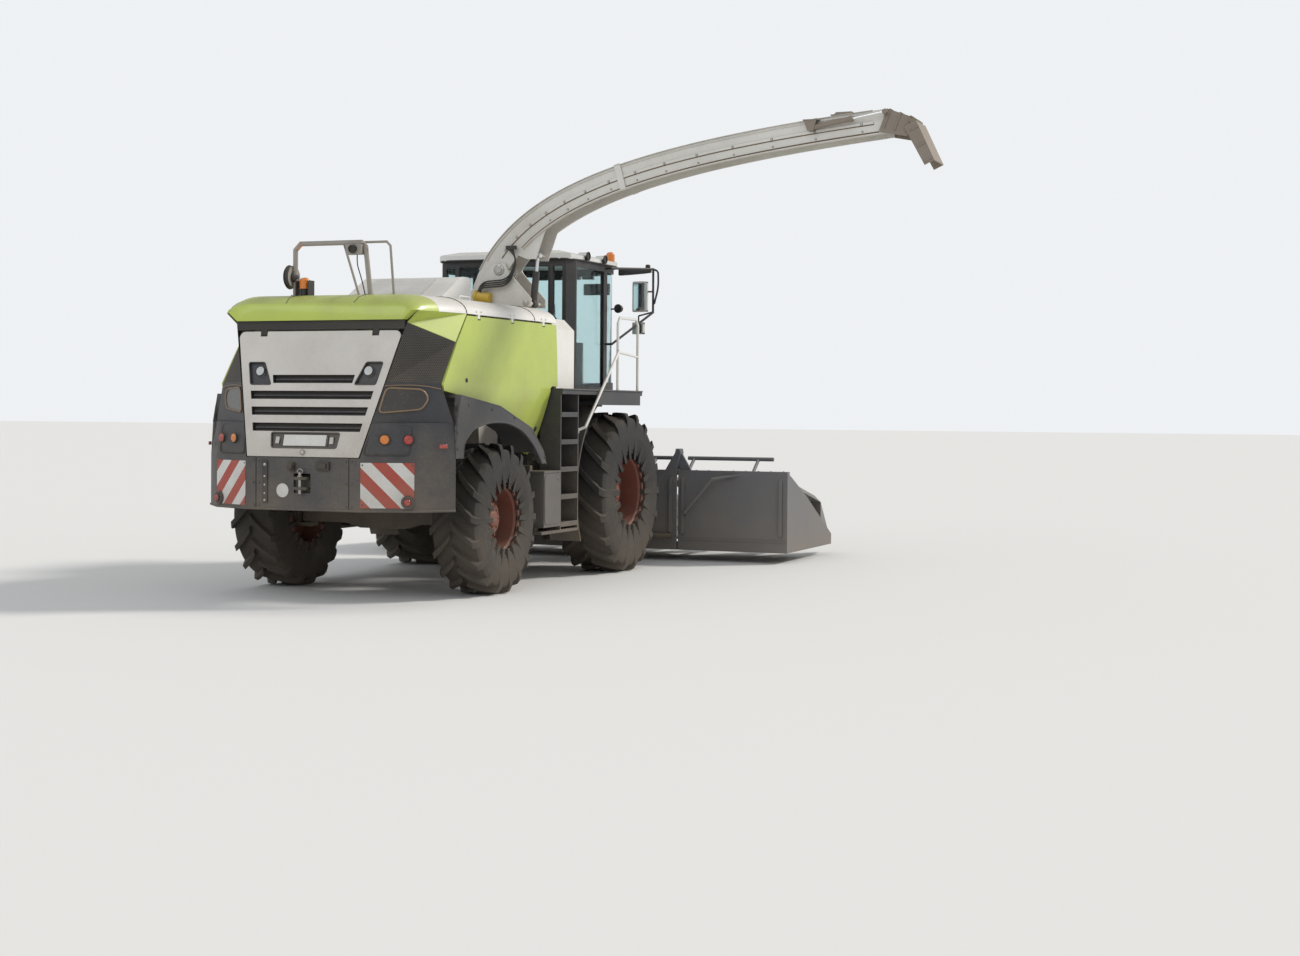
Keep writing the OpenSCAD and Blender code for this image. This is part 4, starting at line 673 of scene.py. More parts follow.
def piece(name, shape, body, *finishes, both=False, smooth=38, bevel=0.0):
    """Makes the gathered shape an object with its finishes on its body; both adds its mirror image."""
    points = np.concatenate(shape.points)
    faces, finish = list(shape.faces), list(shape.finish)
    if both:
        faces += [[i + len(points) for i in face] for face in faces]
        finish += finish
        points = np.concatenate([points, points * (1, -1, 1)])
    mesh = bpy.data.meshes.new(name)
    mesh.from_pydata((points + PLACE).tolist(), [], faces)
    for label in finishes:
        mesh.materials.append(MATERIALS[label])
    mesh.polygons.foreach_set("material_index", finish)
    shell = bmesh.new()
    shell.from_mesh(mesh)
    bmesh.ops.recalc_face_normals(shell, faces=shell.faces)
    shell.to_mesh(mesh)
    shell.free()
    mesh.shade_smooth()
    mesh.set_sharp_from_angle(angle=math.radians(smooth))
    made = bpy.data.objects.new(name, mesh)
    scene.collection.objects.link(made)
    if bevel:
        edges = made.modifiers.new("edges", "BEVEL")
        edges.width, edges.segments = bevel, 2
        edges.limit_method, edges.angle_limit = "ANGLE", math.radians(40)
        edges.harden_normals = True
    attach(made, body)
    return made


# Wheels

TYRE_SIZES = {"front": (0.900, 0.620, 0.420), "rear": (0.745, 0.500, 0.345)}
LUG_COUNT, LUG_HEIGHT, LUG_LEAD, BEAD_DEPTH = 18, 0.047, 0.165, 0.034


def tread_tyre(name, body, node, radius, width, rim_radius, outer):
    """A field tyre in place of the plain one. The carcass is its half section turned round the hub, with
    rings on the walls. A lug's middle line runs from the crown to the shoulder at the angle
    lead * (1 - 2 u^0.85); its section is a trapezoid across that line, and its top drops with the square of
    the way from the crown."""
    hub = middle(node) - PLACE
    half, carcass, seat = width / 2, radius - LUG_HEIGHT, rim_radius - BEAD_DEPTH
    wall = carcass - rim_radius
    flank = np.array([(0.82, seat), (0.82, rim_radius), (0.90, rim_radius + 0.008),
                      (0.945, rim_radius + 0.022), (0.930, rim_radius + 0.034),
                      (0.965, rim_radius + 0.16 * wall), (0.990, rim_radius + 0.34 * wall),
                      (0.997, rim_radius + 0.44 * wall), (1.0, rim_radius + 0.46 * wall),
                      (1.0, rim_radius + 0.52 * wall), (0.996, rim_radius + 0.54 * wall),
                      (0.985, carcass - 0.11), (0.960, carcass - 0.065), (0.90, carcass - 0.03),
                      (0.80, carcass - 0.014), (0.55, carcass - 0.005), (0.25, carcass)])
    section = np.concatenate([flank * (-1, 1), flank[::-1]])
    t = np.linspace(0, 2 * np.pi, 120, endpoint=False)

    def turn(y, r, a):
        """Places y along the axle and r from it, at the angle a round the hub."""
        return hub + np.stack([r * np.sin(a), y + 0 * a, r * np.cos(a)], -1)

    shape = Shape()
    y, r = section[:, :1] * half, section[:, 1:]
    shape.grid(turn(y, r, t[None, :]), ends=False, ring=True)
    u = np.linspace(0, 1, 10)[:, None]
    across = np.array([-1.35, -1.05, -0.85, 0.85, 1.05, 1.35])[None, :]
    rise = np.array([0.0, 0.72, 1.0, 1.0, 0.72, 0.0])[None, :]
    thick = radius * (0.036 + 0.018 * u)
    for side in (-1, 1):
        start = 0.5 if side > 0 else 0.0
        reach = side * half * (0.015 + 0.975 * u)
        base = np.interp(abs(reach), flank[::-1, 0] * half, flank[::-1, 1]) - 0.012
        near_end = np.clip((u - 0.88) / 0.12, 0, 1)
        top = radius - 0.0005 - 0.010 * (reach / half) ** 2 - 0.060 * near_end ** 1.5
        for i in range(LUG_COUNT):
            a = (i + start) * 2 * np.pi / LUG_COUNT + LUG_LEAD * (1 - 2 * u ** 0.85) + across * thick / radius
            height = base + (top - base) * rise
            shape.grid(turn(reach + 0 * across, height, a))
    made = piece(name, shape, body, "tyre_rubber", smooth=32)
    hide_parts(node)
    valve = Shape()
    stem = hub + (0, outer * half * 0.70, -rim_radius + 0.055)
    valve.tube([stem, stem + (0, outer * 0.03, 0.004), stem + (0, outer * 0.05, 0.012)], 0.006, 8)
    piece(name + "_valve", valve, body, "rod_chrome")


def add_tyres():
    """Four tyres, and on each rim a ring of bolts round a domed hub cover."""
    for side, outer in SIDES:
        for end, sizes in TYRE_SIZES.items():
            where = end + "_" + side
            tread_tyre("tread_" + where, "wheel_" + where, "tyre_" + where, *sizes, outer)
        for end in TYRE_SIZES:
            hub = middle("rim_%s_%s" % (end, side)) - PLACE
            bolt_circle, face = 0.115, 0.094
            shape = Shape()
            a = np.arange(8) * np.pi / 4
            ring = hub + np.stack([bolt_circle * np.cos(a), 0 * a + outer * (face - 0.004),
                                   bolt_circle * np.sin(a)], -1)
            shape.bolts(ring, (0, outer, 0), 0.010, 0.012)
            shape.turned([(0.085, 0), (0.085, 0.012), (0.070, 0.024), (0.030, 0.028), (0.002, 0.028)],
                         hub + (0, outer * (face - 0.006), 0), (0, outer, 0), 40)
            piece("hub_cover_%s_%s" % (end, side), shape, "wheel_%s_%s" % (end, side), "rim_red")


# Tail: warning plates, lamps, disc, small plate

BEVEL_START, BEVEL_END = np.array([BUMPER_BACK, 0.610]), np.array([-4.350, 1.085])
MARKER_S, MARKER_Z, MARKER_R = 0.448, 0.958, 0.062


def along_bevel(s, z, out=0.0):
    """A place on the left slanted face of the bumper: s outwards along it, z up, out off the face."""
    run = unit(BEVEL_END - BEVEL_START)
    off = np.array([-run[1], run[0]])
    spot = BEVEL_START + s * run + out * off
    return np.array([spot[0], spot[1], z])


def off_bevel():
    """The unit vector square to the left slanted face, away from the machine."""
    return along_bevel(0, 0, 1) - along_bevel(0, 0)


def add_warning_plates():
    """Plates cut round the marker pods. The attribute stripe carries outward distance plus height, and each
    stripe is a step of it."""
    a = np.linspace(np.radians(15), np.radians(245), 18)
    notch = [(MARKER_S + MARKER_R * math.cos(q), MARKER_Z + MARKER_R * math.sin(q)) for q in a]
    outline = np.array([(0.012, 0.902), (0.012, 1.322), (0.508, 1.322), (0.508, 0.975)] + notch)
    for name, sign in (("warning_plate_left", 1), ("warning_plate_right", -1)):
        flat = np.array([along_bevel(s, z) for s, z in outline]) * (1, sign, 1)
        off = off_bevel() * (1, sign, 1)
        shape = Shape()
        shape.grid(np.stack([flat + 0.001 * off, flat + 0.0045 * off]))
        made = piece(name, shape, "chassis", "warning_stripes")
        store = made.data.attributes.new("stripe", "FLOAT", "POINT")
        store.data.foreach_set("value", np.tile(outline.sum(1), 2).astype(np.float32))
    rivets = Shape()
    spots = [along_bevel(s, z, 0.0045) for s in (0.03, 0.49) for z in (0.93, 1.30)
             if not (s > 0.4 and z < 1.0)]
    rivets.bolts(spots, off_bevel(), 0.006, 0.004)
    piece("warning_plate_rivets", rivets, "chassis", "dark_paint", both=True)


def lens(shape, centre, axis, radius, depth, finish, rim):
    """A round lamp: a rim ring, then a domed lens with stepped rings."""
    centre, axis = np.asarray(centre, float), unit(axis)
    shape.turned([(radius * 1.16, 0), (radius * 1.16, depth * 0.45), (radius * 1.04, depth * 0.55),
                  (radius * 1.0, depth * 0.30), (radius * 0.2, depth * 0.25)], centre, axis, 36, finish=rim)
    rings = [(radius * k, depth * (0.35 + 0.65 * math.sqrt(max(0.0, 1 - k * k))) - (0.0012 if i % 2 else 0))
             for i, k in enumerate(np.linspace(0.995, 0.02, 15))]
    shape.turned([(radius * 0.995, depth * 0.2)] + rings, centre, axis, 36, finish=finish)


def add_tail_lamps():
    """Amber and red lamps on the slanted faces, and a red one in each marker pod."""
    out = off_bevel()
    shape = Shape()
    for x, y, finish in ((-4.448, 0.813, 1), (-4.358, 1.012, 2)):
        spot = np.array([x, y, 1.536]) + 0.0085 * out
        lens(shape, spot, out, 0.043, 0.022, finish, 0)
    lens(shape, along_bevel(MARKER_S, MARKER_Z, 0.038), out, 0.033, 0.020, 2, 0)
    piece("tail_lamps_lenses", shape, "chassis", "lamp_rubber", "amber_lens", "red_lens", both=True)


def add_lamp_frames():
    """A rubber bead round each lamp field, and a red reflector on each side."""
    seams = Shape()
    field = [(-4.547, 0.640, 1.392), (-4.372, 1.036, 1.392), (-4.318, 1.033, 1.668), (-4.468, 0.700, 1.668)]
    seams.tube(rounded(field, 0.05, 5, ring=True) + 0.001 * off_bevel(), 0.0055, 8, ring=True)
    piece("lamp_frames", seams, "chassis", "lamp_rubber", both=True)
    reflectors = Shape()
    reflectors.prism(box_outline(-0.048, 0.048, -0.017, 0.017, 0.006), (-4.18, 1.283, 1.475),
                     unit((0.28, 0.12, 0)), UP, (-0.004, 0.008))
    piece("side_reflectors", reflectors, "chassis", "red_lens", both=True, bevel=0.002)


def add_tail_fittings():
    """A blank round disc, an upright strip of switches, and the socket boxes over the tow jaw."""
    disc = Shape()
    disc.cap((-4.561, 0.21, 1.05), BACK, 0.066, 0.003, 0.064, 0.004, 48)
    piece("round_disc", disc, "chassis", "plate_white")
    strip = Shape()
    strip.prism(box_outline(-0.028, 0.028, 0.93, 1.33, 0.006), (-4.561, 0.40, 0), RIGHT, UP, (0, 0.010))
    for z, size in ((0.955, 0.014), (1.02, 0.012), (1.10, 0.012), (1.18, 0.012), (1.29, 0.016)):
        strip.cap((-4.570, 0.40, z), BACK, size, 0.006, 0.6 * size, 0.009, 20, finish=1)
    piece("switch_strip", strip, "chassis", "lamp_rubber", "worn_steel", bevel=0.002)
    box = Shape()
    box.block((-4.585, -0.30, 1.245), (-4.555, -0.16, 1.325))
    box.block((-4.60, -0.275, 1.262), (-4.585, -0.185, 1.31))
    box.block((-4.592, 0.075, 1.235), (-4.555, 0.135, 1.315))
    box.cap((-4.585, 0.105, 1.275), BACK, 0.030, 0.030, 0.022, 0.036)
    piece("socket_boxes", box, "chassis", "lamp_rubber", bevel=0.004)


def add_tow_pin():
    """The pin through the tow jaw, with a collar, a head and a ring to pull it by."""
    pin = Shape()
    x = -4.596
    pin.turned([(0.026, 1.180), (0.026, 1.192), (0.0150, 1.194), (0.0150, 1.215), (0.012, 1.222),
                (0.002, 1.224)], (x, 0, 0), UP, 28)
    pin.turned([(0.0150, 1.020), (0.0155, 1.030), (0.0155, 1.1795), (0.002, 1.1796)], (x, 0, 0), UP, 28)
    pin.tube(rounded([(x, -0.010, 1.212), (x, -0.035, 1.235), (x, 0.0, 1.262), (x, 0.035, 1.235),
                      (x, 0.010, 1.212)], 0.03, 6), 0.0045, 8)
    piece("tow_pin", pin, "chassis", "worn_steel")


def add_bumper_trim():
    """Bolt heads on the bumper's rear face, and a bead along its lower edge."""
    bolts = Shape()
    spots = [(-4.5605, y, z) for y in (0.47, 0.53) for z in (0.91, 1.12, 1.33)]
    bolts.bolts(spots, BACK, 0.009, 0.006)
    piece("bumper_bolts", bolts, "chassis", "chassis_paint", both=True)
    lip = Shape()
    foot = [(-4.060, 1.350), BEVEL_END, BEVEL_START, (BUMPER_BACK, 0.0)]
    path = np.array([(x, y, 0.874) for x, y in foot])
    lip.tube(np.concatenate([path, (path * (1, -1, 1))[::-1][1:]]), 0.012, 8)
    piece("bumper_lip", lip, "chassis", "dark_paint")


# Grille door

DOOR_FOOT, DOOR_TILT = np.array([BUMPER_BACK, 0.0, 1.368]), math.atan2(0.298, 1.187)
DOOR_ACROSS = np.array([0.0, 1.0, 0.0])
DOOR_UP = np.array([math.sin(DOOR_TILT), 0.0, math.cos(DOOR_TILT)])
DOOR_IN = np.array([math.cos(DOOR_TILT), 0.0, -math.sin(DOOR_TILT)])


def on_door(across, up, depth=0.0):
    """A place on the grille door: across to the left, up its slope from the foot, depth into the machine."""
    return DOOR_FOOT + across * DOOR_ACROSS + up * DOOR_UP + depth * DOOR_IN


def paint_faces(node, labels, choose):
    """Gives each face of a CAD node the finish that choose picks from its middle and its normal."""
    mesh = frame["nodes"][node].data
    mesh.materials.clear()
    for label in labels:
        mesh.materials.append(MATERIALS[label])
    count = len(mesh.polygons)
    middles, normals = np.empty(count * 3), np.empty(count * 3)
    mesh.polygons.foreach_get("center", middles)
    mesh.polygons.foreach_get("normal", normals)
    picked = choose(middles.reshape(-1, 3) - PLACE, normals.reshape(-1, 3))
    mesh.polygons.foreach_set("material_index", np.asarray(picked, np.int32))


POD_LAMP = (0.59, 0.83)


def door_faces(middles, normals):
    """Grille door: dark slots and lamp pods, bright lamp bowls, a pale plate in its recess, and the lock."""
    off = middles - DOOR_FOOT
    across, up, depth = abs(off @ DOOR_ACROSS), off @ DOOR_UP, off @ DOOR_IN
    pod = (across > 0.445) & (across < 0.735) & (up > 0.69) & (up < 0.925) & (depth > 0.003) & (depth < 0.030)
    lamp = (np.hypot(across - POD_LAMP[0], up - POD_LAMP[1]) < 0.049) & (depth < 0.022)
    inner = (depth > 0.003) & (depth < 0.0355) & (abs(normals @ DOOR_IN) < 0.5)
    inner &= (up > 0.10) & (up < 0.90) & (across < 0.80)
    recess = (across < 0.372) & (up > 0.08) & (up < 0.235) & (depth > 0.003) & (depth < 0.020)
    plate = (across < 0.232) & (up > 0.10) & (up < 0.216) & (depth < 0.017) & (depth > 0.002)
    small = (across > 0.26) & (across < 0.33) & (up > 0.12) & (up < 0.195) & (depth < 0.014) & (depth > 0.002)
    lock = (across < 0.02) & (up < 0.06) & (depth < -0.001)
    picked = np.zeros(len(middles), int)
    for mask, index in ((inner, 1), (recess, 5), (pod, 1), (lamp, 2), (plate, 3), (small, 1), (lock, 4)):
        picked[mask] = index
    return picked


def add_grille():
    """Paints the grille door, and sets fine mesh and cross bars behind its slots."""
    paint_faces("grille_door", ("pale_panel", "dark_paint", "lamp_mirror", "plate_white", "worn_steel",
                                "plate_holder"), door_faces)
    mesh = Shape()
    mesh.prism(box_outline(-0.70, 0.70, 0.16, 0.82, 0.02), on_door(0, 0, 0.044), DOOR_ACROSS, DOOR_UP,
               (0, 0.003))
    piece("grille_mesh", mesh, "grille_door", "fine_mesh")
    ribs = Shape()
    for i, half in enumerate((0.43, 0.65, 0.615, 0.58)):
        up = 0.753 - 0.156 * i
        line = [on_door(-half + 0.01, up, 0.030), on_door(half - 0.01, up, 0.030)]
        ribs.tube(line, 0.010, 8)
    piece("slot_bars", ribs, "grille_door", "dark_paint")


def add_grille_lamps():
    """A dark bead round each lamp pod, and a reversing lamp in each."""
    trims = Shape()
    corners = ((0.455, 0.699), (0.680, 0.699), (0.730, 0.916), (0.555, 0.916))
    for side in (-1, 1):
        pod = [on_door(side * y, v, -0.001) for y, v in corners]
        trims.tube(rounded(pod, 0.02, 4, ring=True), 0.006, 8, ring=True)
    piece("lamp_pod_trims", trims, "grille_door", "dark_paint")
    lamps = Shape()
    for side in (-1, 1):
        lens(lamps, on_door(side * POD_LAMP[0], POD_LAMP[1], -0.004), -DOOR_IN, 0.043, 0.014, 1, 0)
    piece("reversing_lamps", lamps, "grille_door", "lamp_rubber", "clear_lens")


def add_plate_frame():
    """The plate's recess edged with a bead, a clip at each end of the plate, and the door's lock."""
    holder = Shape()
    corners = ((-0.350, 0.085), (0.350, 0.085), (0.370, 0.232), (-0.370, 0.232))
    edge = rounded([on_door(y, v) for y, v in corners], 0.02, 4, ring=True)
    holder.tube(edge, 0.007, 8, ring=True)
    for side in (-1, 1):
        holder.prism(box_outline(-0.006, 0.006, -0.05, 0.05), on_door(side * 0.245, 0.159, 0.004),
                     DOOR_ACROSS, DOOR_UP, (0, 0.012))
    piece("plate_frame", holder, "grille_door", "plate_holder")
    lock = Shape()
    lock.turned([(0.024, 0), (0.024, 0.004), (0.018, 0.010), (0.008, 0.012), (0.001, 0.012)],
                on_door(0, 0.040, -0.008), -DOOR_IN, 28)
    piece("door_lock", lock, "grille_door", "worn_steel")


def add_cooler_frame():
    """Upright bars and two cross bars in front of the cooler."""
    core = Shape()
    for y in np.linspace(-0.52, 0.52, 9):
        core.block((-4.093, y - 0.006, 1.26), (-4.081, y + 0.006, 2.46))
    core.block((-4.095, -0.565, 1.243), (-4.080, 0.565, 1.275))
    core.block((-4.095, -0.565, 2.45), (-4.080, 0.565, 2.483))
    piece("cooler_frame", core, "chassis", "chassis_paint", bevel=0.002)


# Corner of the tail: dark pane in a bronze trim, and the lips round the wheel arches

CORNER = np.array([(-4.480, 0.693, 1.690), (-4.030, 1.310, 1.690), (-4.080, 1.200, 2.060),
                   (-4.387, 0.787, 2.070)])


def on_corner(s, t, out=0.0):
    """A place on the left corner panel over the lamps: the mix of its four corners, s outwards and t up."""
    a, b, c, d = CORNER
    spot = (1 - t) * ((1 - s) * a + s * b) + t * ((1 - s) * d + s * c)
    off = unit(np.cross(b - a, d - a))
    off = off if off[0] < 0 else -off
    return spot + out * off


def add_corner_panes():
    """A smoked pane in a bronze bead on each corner panel, and a bronze line along the panel's top."""
    corners = ((0.04, 0.24), (0.04, 0.86), (0.66, 0.84), (0.74, 0.62), (0.62, 0.34))
    edge = rounded([on_corner(s, t, 0.010) for s, t in corners], 0.05, 5, ring=True)
    trim = Shape()
    trim.tube(edge, 0.009, 10, ring=True)
    top = ((0.005, 0.90), (0.25, 0.93), (0.5, 0.94), (0.75, 0.92), (0.97, 0.86))
    trim.tube([on_corner(s, t, 0.004) for s, t in top], 0.006, 8)
    piece("corner_trims", trim, "chassis", "bronze_trim", both=True)
    inner = edge.mean(0) + 0.985 * (edge - edge.mean(0))
    off = on_corner(0, 0, 1) - on_corner(0, 0)
    pane = Shape()
    pane.grid(np.stack([inner - 0.012 * off, inner - 0.002 * off]))
    piece("corner_panes", pane, "chassis", "smoked_pane", both=True)


def add_arch_lips():
    """Beads along the rear arches and along the brows over them, and the fenders' bolts."""
    arch = [(-3.905, 1.360), (-3.890, 1.500), (-3.700, 1.640), (-3.350, 1.700), (-2.950, 1.700),
            (-2.600, 1.620), (-2.330, 1.470), (-2.120, 1.270)]
    lip = Shape()
    lip.tube(rounded([(x, 1.340, z) for x, z in arch], 0.25, 5), 0.013, 10)
    brow = [(-4.030, 1.690), (-3.960, 1.960), (-3.120, 1.860), (-2.390, 1.640), (-2.100, 1.400),
            (-2.040, 1.270)]
    lip.tube(rounded([(x, 1.343, z - 0.008) for x, z in brow], 0.2, 5), 0.010, 10)
    piece("arch_lips", lip, "chassis", "dark_paint", both=True)
    bolts = Shape()
    spots = ((-4.02, 1.45), (-4.02, 1.60), (-3.80, 1.86), (-3.30, 1.82), (-2.80, 1.74), (-2.35, 1.585),
             (-2.085, 1.33))
    bolts.bolts([(x, 1.3505, z) for x, z in spots], LEFT, 0.010, 0.006)
    piece("fender_bolts", bolts, "chassis", "chassis_paint", both=True)


# Deck, roof guard and beacons

def amber_dome(shape, centre):
    """A beacon's cap: rings of a half ellipse over its collar."""
    radius, height, collar = 0.049, 0.034, 0.006
    a = np.linspace(0, 1.55, 9)
    dome = np.column_stack([radius * np.cos(a), collar + height * np.sin(a)])
    foot = [(radius * 1.06, -0.004), (radius * 1.06, collar)]
    shape.turned(np.concatenate([foot, dome]), centre, UP, 36)


def guard_faces(middles, normals):
    """Roof guard: amber beacon, dark socket, horn and bracket plates."""
    x, y, z = middles.T
    beacon = (np.hypot(x - GUARD_X, y - GUARD_BEACON_Y) < 0.056) & (z > 2.974)
    socket = (np.hypot(x - GUARD_X, y - GUARD_BEACON_Y) < 0.045) & (z < 2.974)
    horn = (y > 0.452) & (z > 2.97) & (z < 3.21)
    plates = (abs(x - GUARD_X) < 0.06) & (z < 3.056) & ((abs(y - 0.257) < 0.006) | (abs(y - 0.393) < 0.006))
    return np.select([beacon, socket | horn | plates], [1, 2], 0)


def add_guard_parts():
    """Domes on the beacons, and the horn's bell, hub and motor, each a profile turned round its axis."""
    paint_faces("roof_guard", ("guard_paint", "amber_lens", "lamp_rubber"), guard_faces)
    caps = Shape()
    amber_dome(caps, (GUARD_X, GUARD_BEACON_Y, 3.046))
    for side in (-1, 1):
        amber_dome(caps, (ROOF_BEACON[0], side * ROOF_BEACON[1], 3.671))
    piece("beacon_caps", caps, "chassis", "amber_lens")
    horn = Shape()
    horn.turned([(0.114, 0), (0.118, 0.008), (0.112, 0.014), (0.070, -0.006), (0.030, -0.010),
                 (0.001, -0.010)], (GUARD_X, 0.486, HORN_Z), LEFT, 48)
    horn.cap((GUARD_X, 0.480, HORN_Z), LEFT, 0.036, 0.014, 0.024, 0.020)
    horn.turned([(0.060, 0), (0.056, 0.020), (0.020, 0.040), (0.001, 0.040)], (GUARD_X, 0.446, HORN_Z),
                RIGHT, 36)
    piece("guard_horn", horn, "chassis", "lamp_rubber")


def add_guard_camera():
    """The guard's camera with its hood and cable, and the bolts of the guard's feet."""
    eye = Shape()
    eye.turned([(0.040, 0), (0.040, 0.030), (0.034, 0.034), (0.030, 0.020), (0.001, 0.016)],
               (-4.075, -0.250, 3.345), (-1, 0, -0.25), 28)
    eye.block((-4.080, -0.340, 3.396), (-3.985, -0.160, 3.408), 1)
    eye.tube(rounded([(-4.000, -0.250, 3.30), (-4.000, -0.250, 3.20), (-3.995, -0.300, 3.05),
                      (-3.985, -0.330, 2.912)], 0.06, 5), 0.006, 8)
    piece("guard_camera", eye, "chassis", "lamp_rubber", "guard_paint", bevel=0.002)
    feet = Shape()
    a, plate_top, bolt_circle = np.array([0.8, 2.4, 3.9, 5.5]), 2.913, 0.036
    for x, y in ((GUARD_X, 0.430), (GUARD_X, -0.400), (-3.945, -0.240), (-3.945, -0.620)):
        feet.bolts(level_ring((x, y, 0), bolt_circle, plate_top, a), UP, 0.006, 0.005)
    piece("guard_foot_bolts", feet, "chassis", "worn_steel")


def add_deck_seams():
    """Joint lines of the deck and the cowl: thin dark beads sunk to half their height. Those across the deck
    run over its shoulders, each a quarter of an ellipse."""
    lines = Shape()
    a = np.linspace(0.02, math.pi / 2, 12)
    edge = np.column_stack([HOOD_HALF - 0.300 + 0.300 * np.cos(a), DECK_SHOULDER + 0.165 * np.sin(a)])
    over = np.concatenate([edge, (edge * (-1, 1))[::-1]])
    for x in (-3.560, -2.020):
        lines.tube([(x, y, z + 0.0005) for y, z in over], 0.0045, 6)
    for y in (-0.62, 0.62):
        lines.tube([(-3.50, y, DECK_TOP + 0.0005), (-2.10, y, DECK_TOP + 0.0005)], 0.004, 6)
    stations = [(-3.560, HOOD_HALF, 0.165), (-3.960, 1.113, 0.165), (-4.080, 1.087, 0.165),
                (-4.190, 1.060, 0.1353), (-4.262, 1.034, 0.0815)]
    for share in (-0.36, 0.36):
        seam = [(x, share * half, DECK_SHOULDER + rise + 0.0005) for x, half, rise in stations]
        lines.tube(seam, 0.0035, 6)
    piece("deck_seams", lines, "chassis", "lamp_rubber")


def add_deck_fittings():
    """The deck's grips and bolts, and the slanted louvres on the air box."""
    grips = Shape()
    for y in (-0.86, 0.86):
        grips.tube(rounded([(-3.06, y, 2.902), (-3.06, y, 2.945), (-2.84, y, 2.945), (-2.84, y, 2.902)],
                           0.025, 5), 0.008, 10)
    grips.tube(rounded([(-2.95, -0.10, 2.903), (-2.975, -0.10, 2.935), (-2.975, 0.10, 2.935),
                        (-2.95, 0.10, 2.903)], 0.02, 5), 0.008, 10)
    piece("deck_grips", grips, "chassis", "white_paint")
    vents = Shape()
    for x in np.linspace(-2.90, -2.52, 11):
        z = DECK_TOP + (x + 2.95) / 0.50 * 0.275
        vents.prism([(-0.012, 0), (0.016, 0.012), (0.016, 0.015), (-0.012, 0.003)], (x, 0.40, z),
                    (1, 0, 0.55), UP, (0, 0.80))
    piece("air_box_louvres", vents, "chassis", "white_paint")
    plugs = Shape()
    spots = [(x, y, DECK_TOP) for x in (-3.52, -3.30, -2.06) for y in (-0.75, -0.35, 0.35, 0.75)]
    plugs.bolts(spots, UP, 0.010, 0.005)
    piece("deck_bolts", plugs, "chassis", "white_paint")


# Cab

def roof_faces(middles, normals):
    """Cab roof: amber beacons, clear glass on the side lamps' ends, dark lamp bodies."""
    x, y, z = middles.T
    beacon = (np.hypot(x - ROOF_BEACON[0], abs(y) - ROOF_BEACON[1]) < 0.056) & (z > 3.610)
    side_lamp = (abs(y) > 0.870) & (z > 3.50)
    front_lamp = (x > 1.404) & (z < 3.531) & (z > 3.40)
    return np.select([beacon, side_lamp & (abs(normals[:, 1]) > 0.9), side_lamp | front_lamp], [1, 2, 3], 0)


def door_pane(middles, normals):
    """Cab door: the pane is glass, the frame is black."""
    x, y, z = middles.T
    inside = (x > -0.101) & (x < 0.591) & (z > 2.169) & (z < 3.401)
    return np.where(inside & (y > 0.8205) & (y < 0.8315), 1, 0)


def floor_faces(middles, normals):
    """Platform: tread plate where people walk, grey on the storage boxes."""
    x, _, z = middles.T
    walked = (normals[:, 2] > 0.9) & ((z > 2.045) | ((x > -1.63) & (x < -1.18) & (z < 2.0)))
    box = (x < -1.6405) & (x > -2.055) & (z > 0.595) & (z < 1.185)
    return np.select([walked, box], [1, 2], 0)


def add_roof_parts():
    """Paints the cab and the platform, and adds the roof's lamp rims, gutter and lids."""
    paint_faces("cab_roof", ("roof_paint", "amber_lens", "clear_lens", "lamp_rubber"), roof_faces)
    paint_faces("cab_door", ("cab_black", "cab_glass"), door_pane)
    paint_faces("platform", ("dark_paint", "tread_plate", "box_grey"), floor_faces)
    rims = Shape()
    for side in (-1, 1):
        for x in (0.060, 0.560):
            rims.turned([(0.050, 0), (0.052, 0.012), (0.046, 0.016), (0.044, 0.004), (0.001, 0.004)],
                        (x, side * 0.893, ROOF_LAMP_Z), (0, side, 0), 32)
    pane = box_outline(-0.064, 0.064, -0.048, 0.048, 0.012)
    for y in (-0.30, -0.12, 0.12, 0.30):
        rims.prism(pane, (1.470, y, 3.475), LEFT, UP, (0, 0.006), 1)
    piece("roof_lamp_rims", rims, "chassis", "lamp_rubber", "clear_lens")
    skirt = Shape()
    outline = [(-0.360, 0.715), (-0.280, 0.825), (-0.140, 0.866), (1.000, 0.866), (1.345, 0.697),
               (1.495, 0.350)]
    loop = np.array(outline + [(x, -y) for x, y in outline[::-1]])
    path = rounded(np.column_stack([loop, np.full(len(loop), 3.530)]), 0.08, 4, ring=True)
    skirt.tube(path, 0.010, 8, ring=True)
    piece("roof_gutter", skirt, "chassis", "cab_black")
    lid = Shape()
    lid.prism(box_outline(0.16, 0.80, -0.30, 0.30, 0.06, 5), (0, 0, ROOF_TOP), AHEAD, LEFT, (0, 0.010))
    lid.prism(box_outline(-0.08, 0.02, -0.40, 0.40, 0.02, 4), (0, 0, ROOF_TOP), AHEAD, LEFT, (0, 0.006))
    piece("roof_lid", lid, "chassis", "roof_paint", bevel=0.003)


def add_wipers():
    """A wiper on the windscreen and one on the rear window: a motor, an arm and a blade each."""
    wiper = Shape()
    wiper.cap((1.400, -0.02, 2.185), AHEAD, 0.020, 0.016, 0.012, 0.022, 24)
    wiper.tube(rounded([(1.412, -0.02, 2.185), (1.420, 0.02, 2.30), (1.412, 0.12, 2.78)], 0.1, 5), 0.006, 8)
    wiper.tube([(1.406, 0.10, 2.42), (1.407, 0.13, 3.12)], 0.005, 8)
    wiper.turned([(0.016, 0), (0.016, 0.014), (0.001, 0.016)], (-0.300, 0.05, 3.40), BACK, 24)
    wiper.tube([(-0.312, 0.05, 3.40), (-0.316, -0.16, 3.05)], 0.005, 8)
    wiper.tube([(-0.307, -0.13, 3.22), (-0.309, -0.19, 2.86)], 0.005, 8)
    piece("wipers", wiper, "chassis", "lamp_rubber")


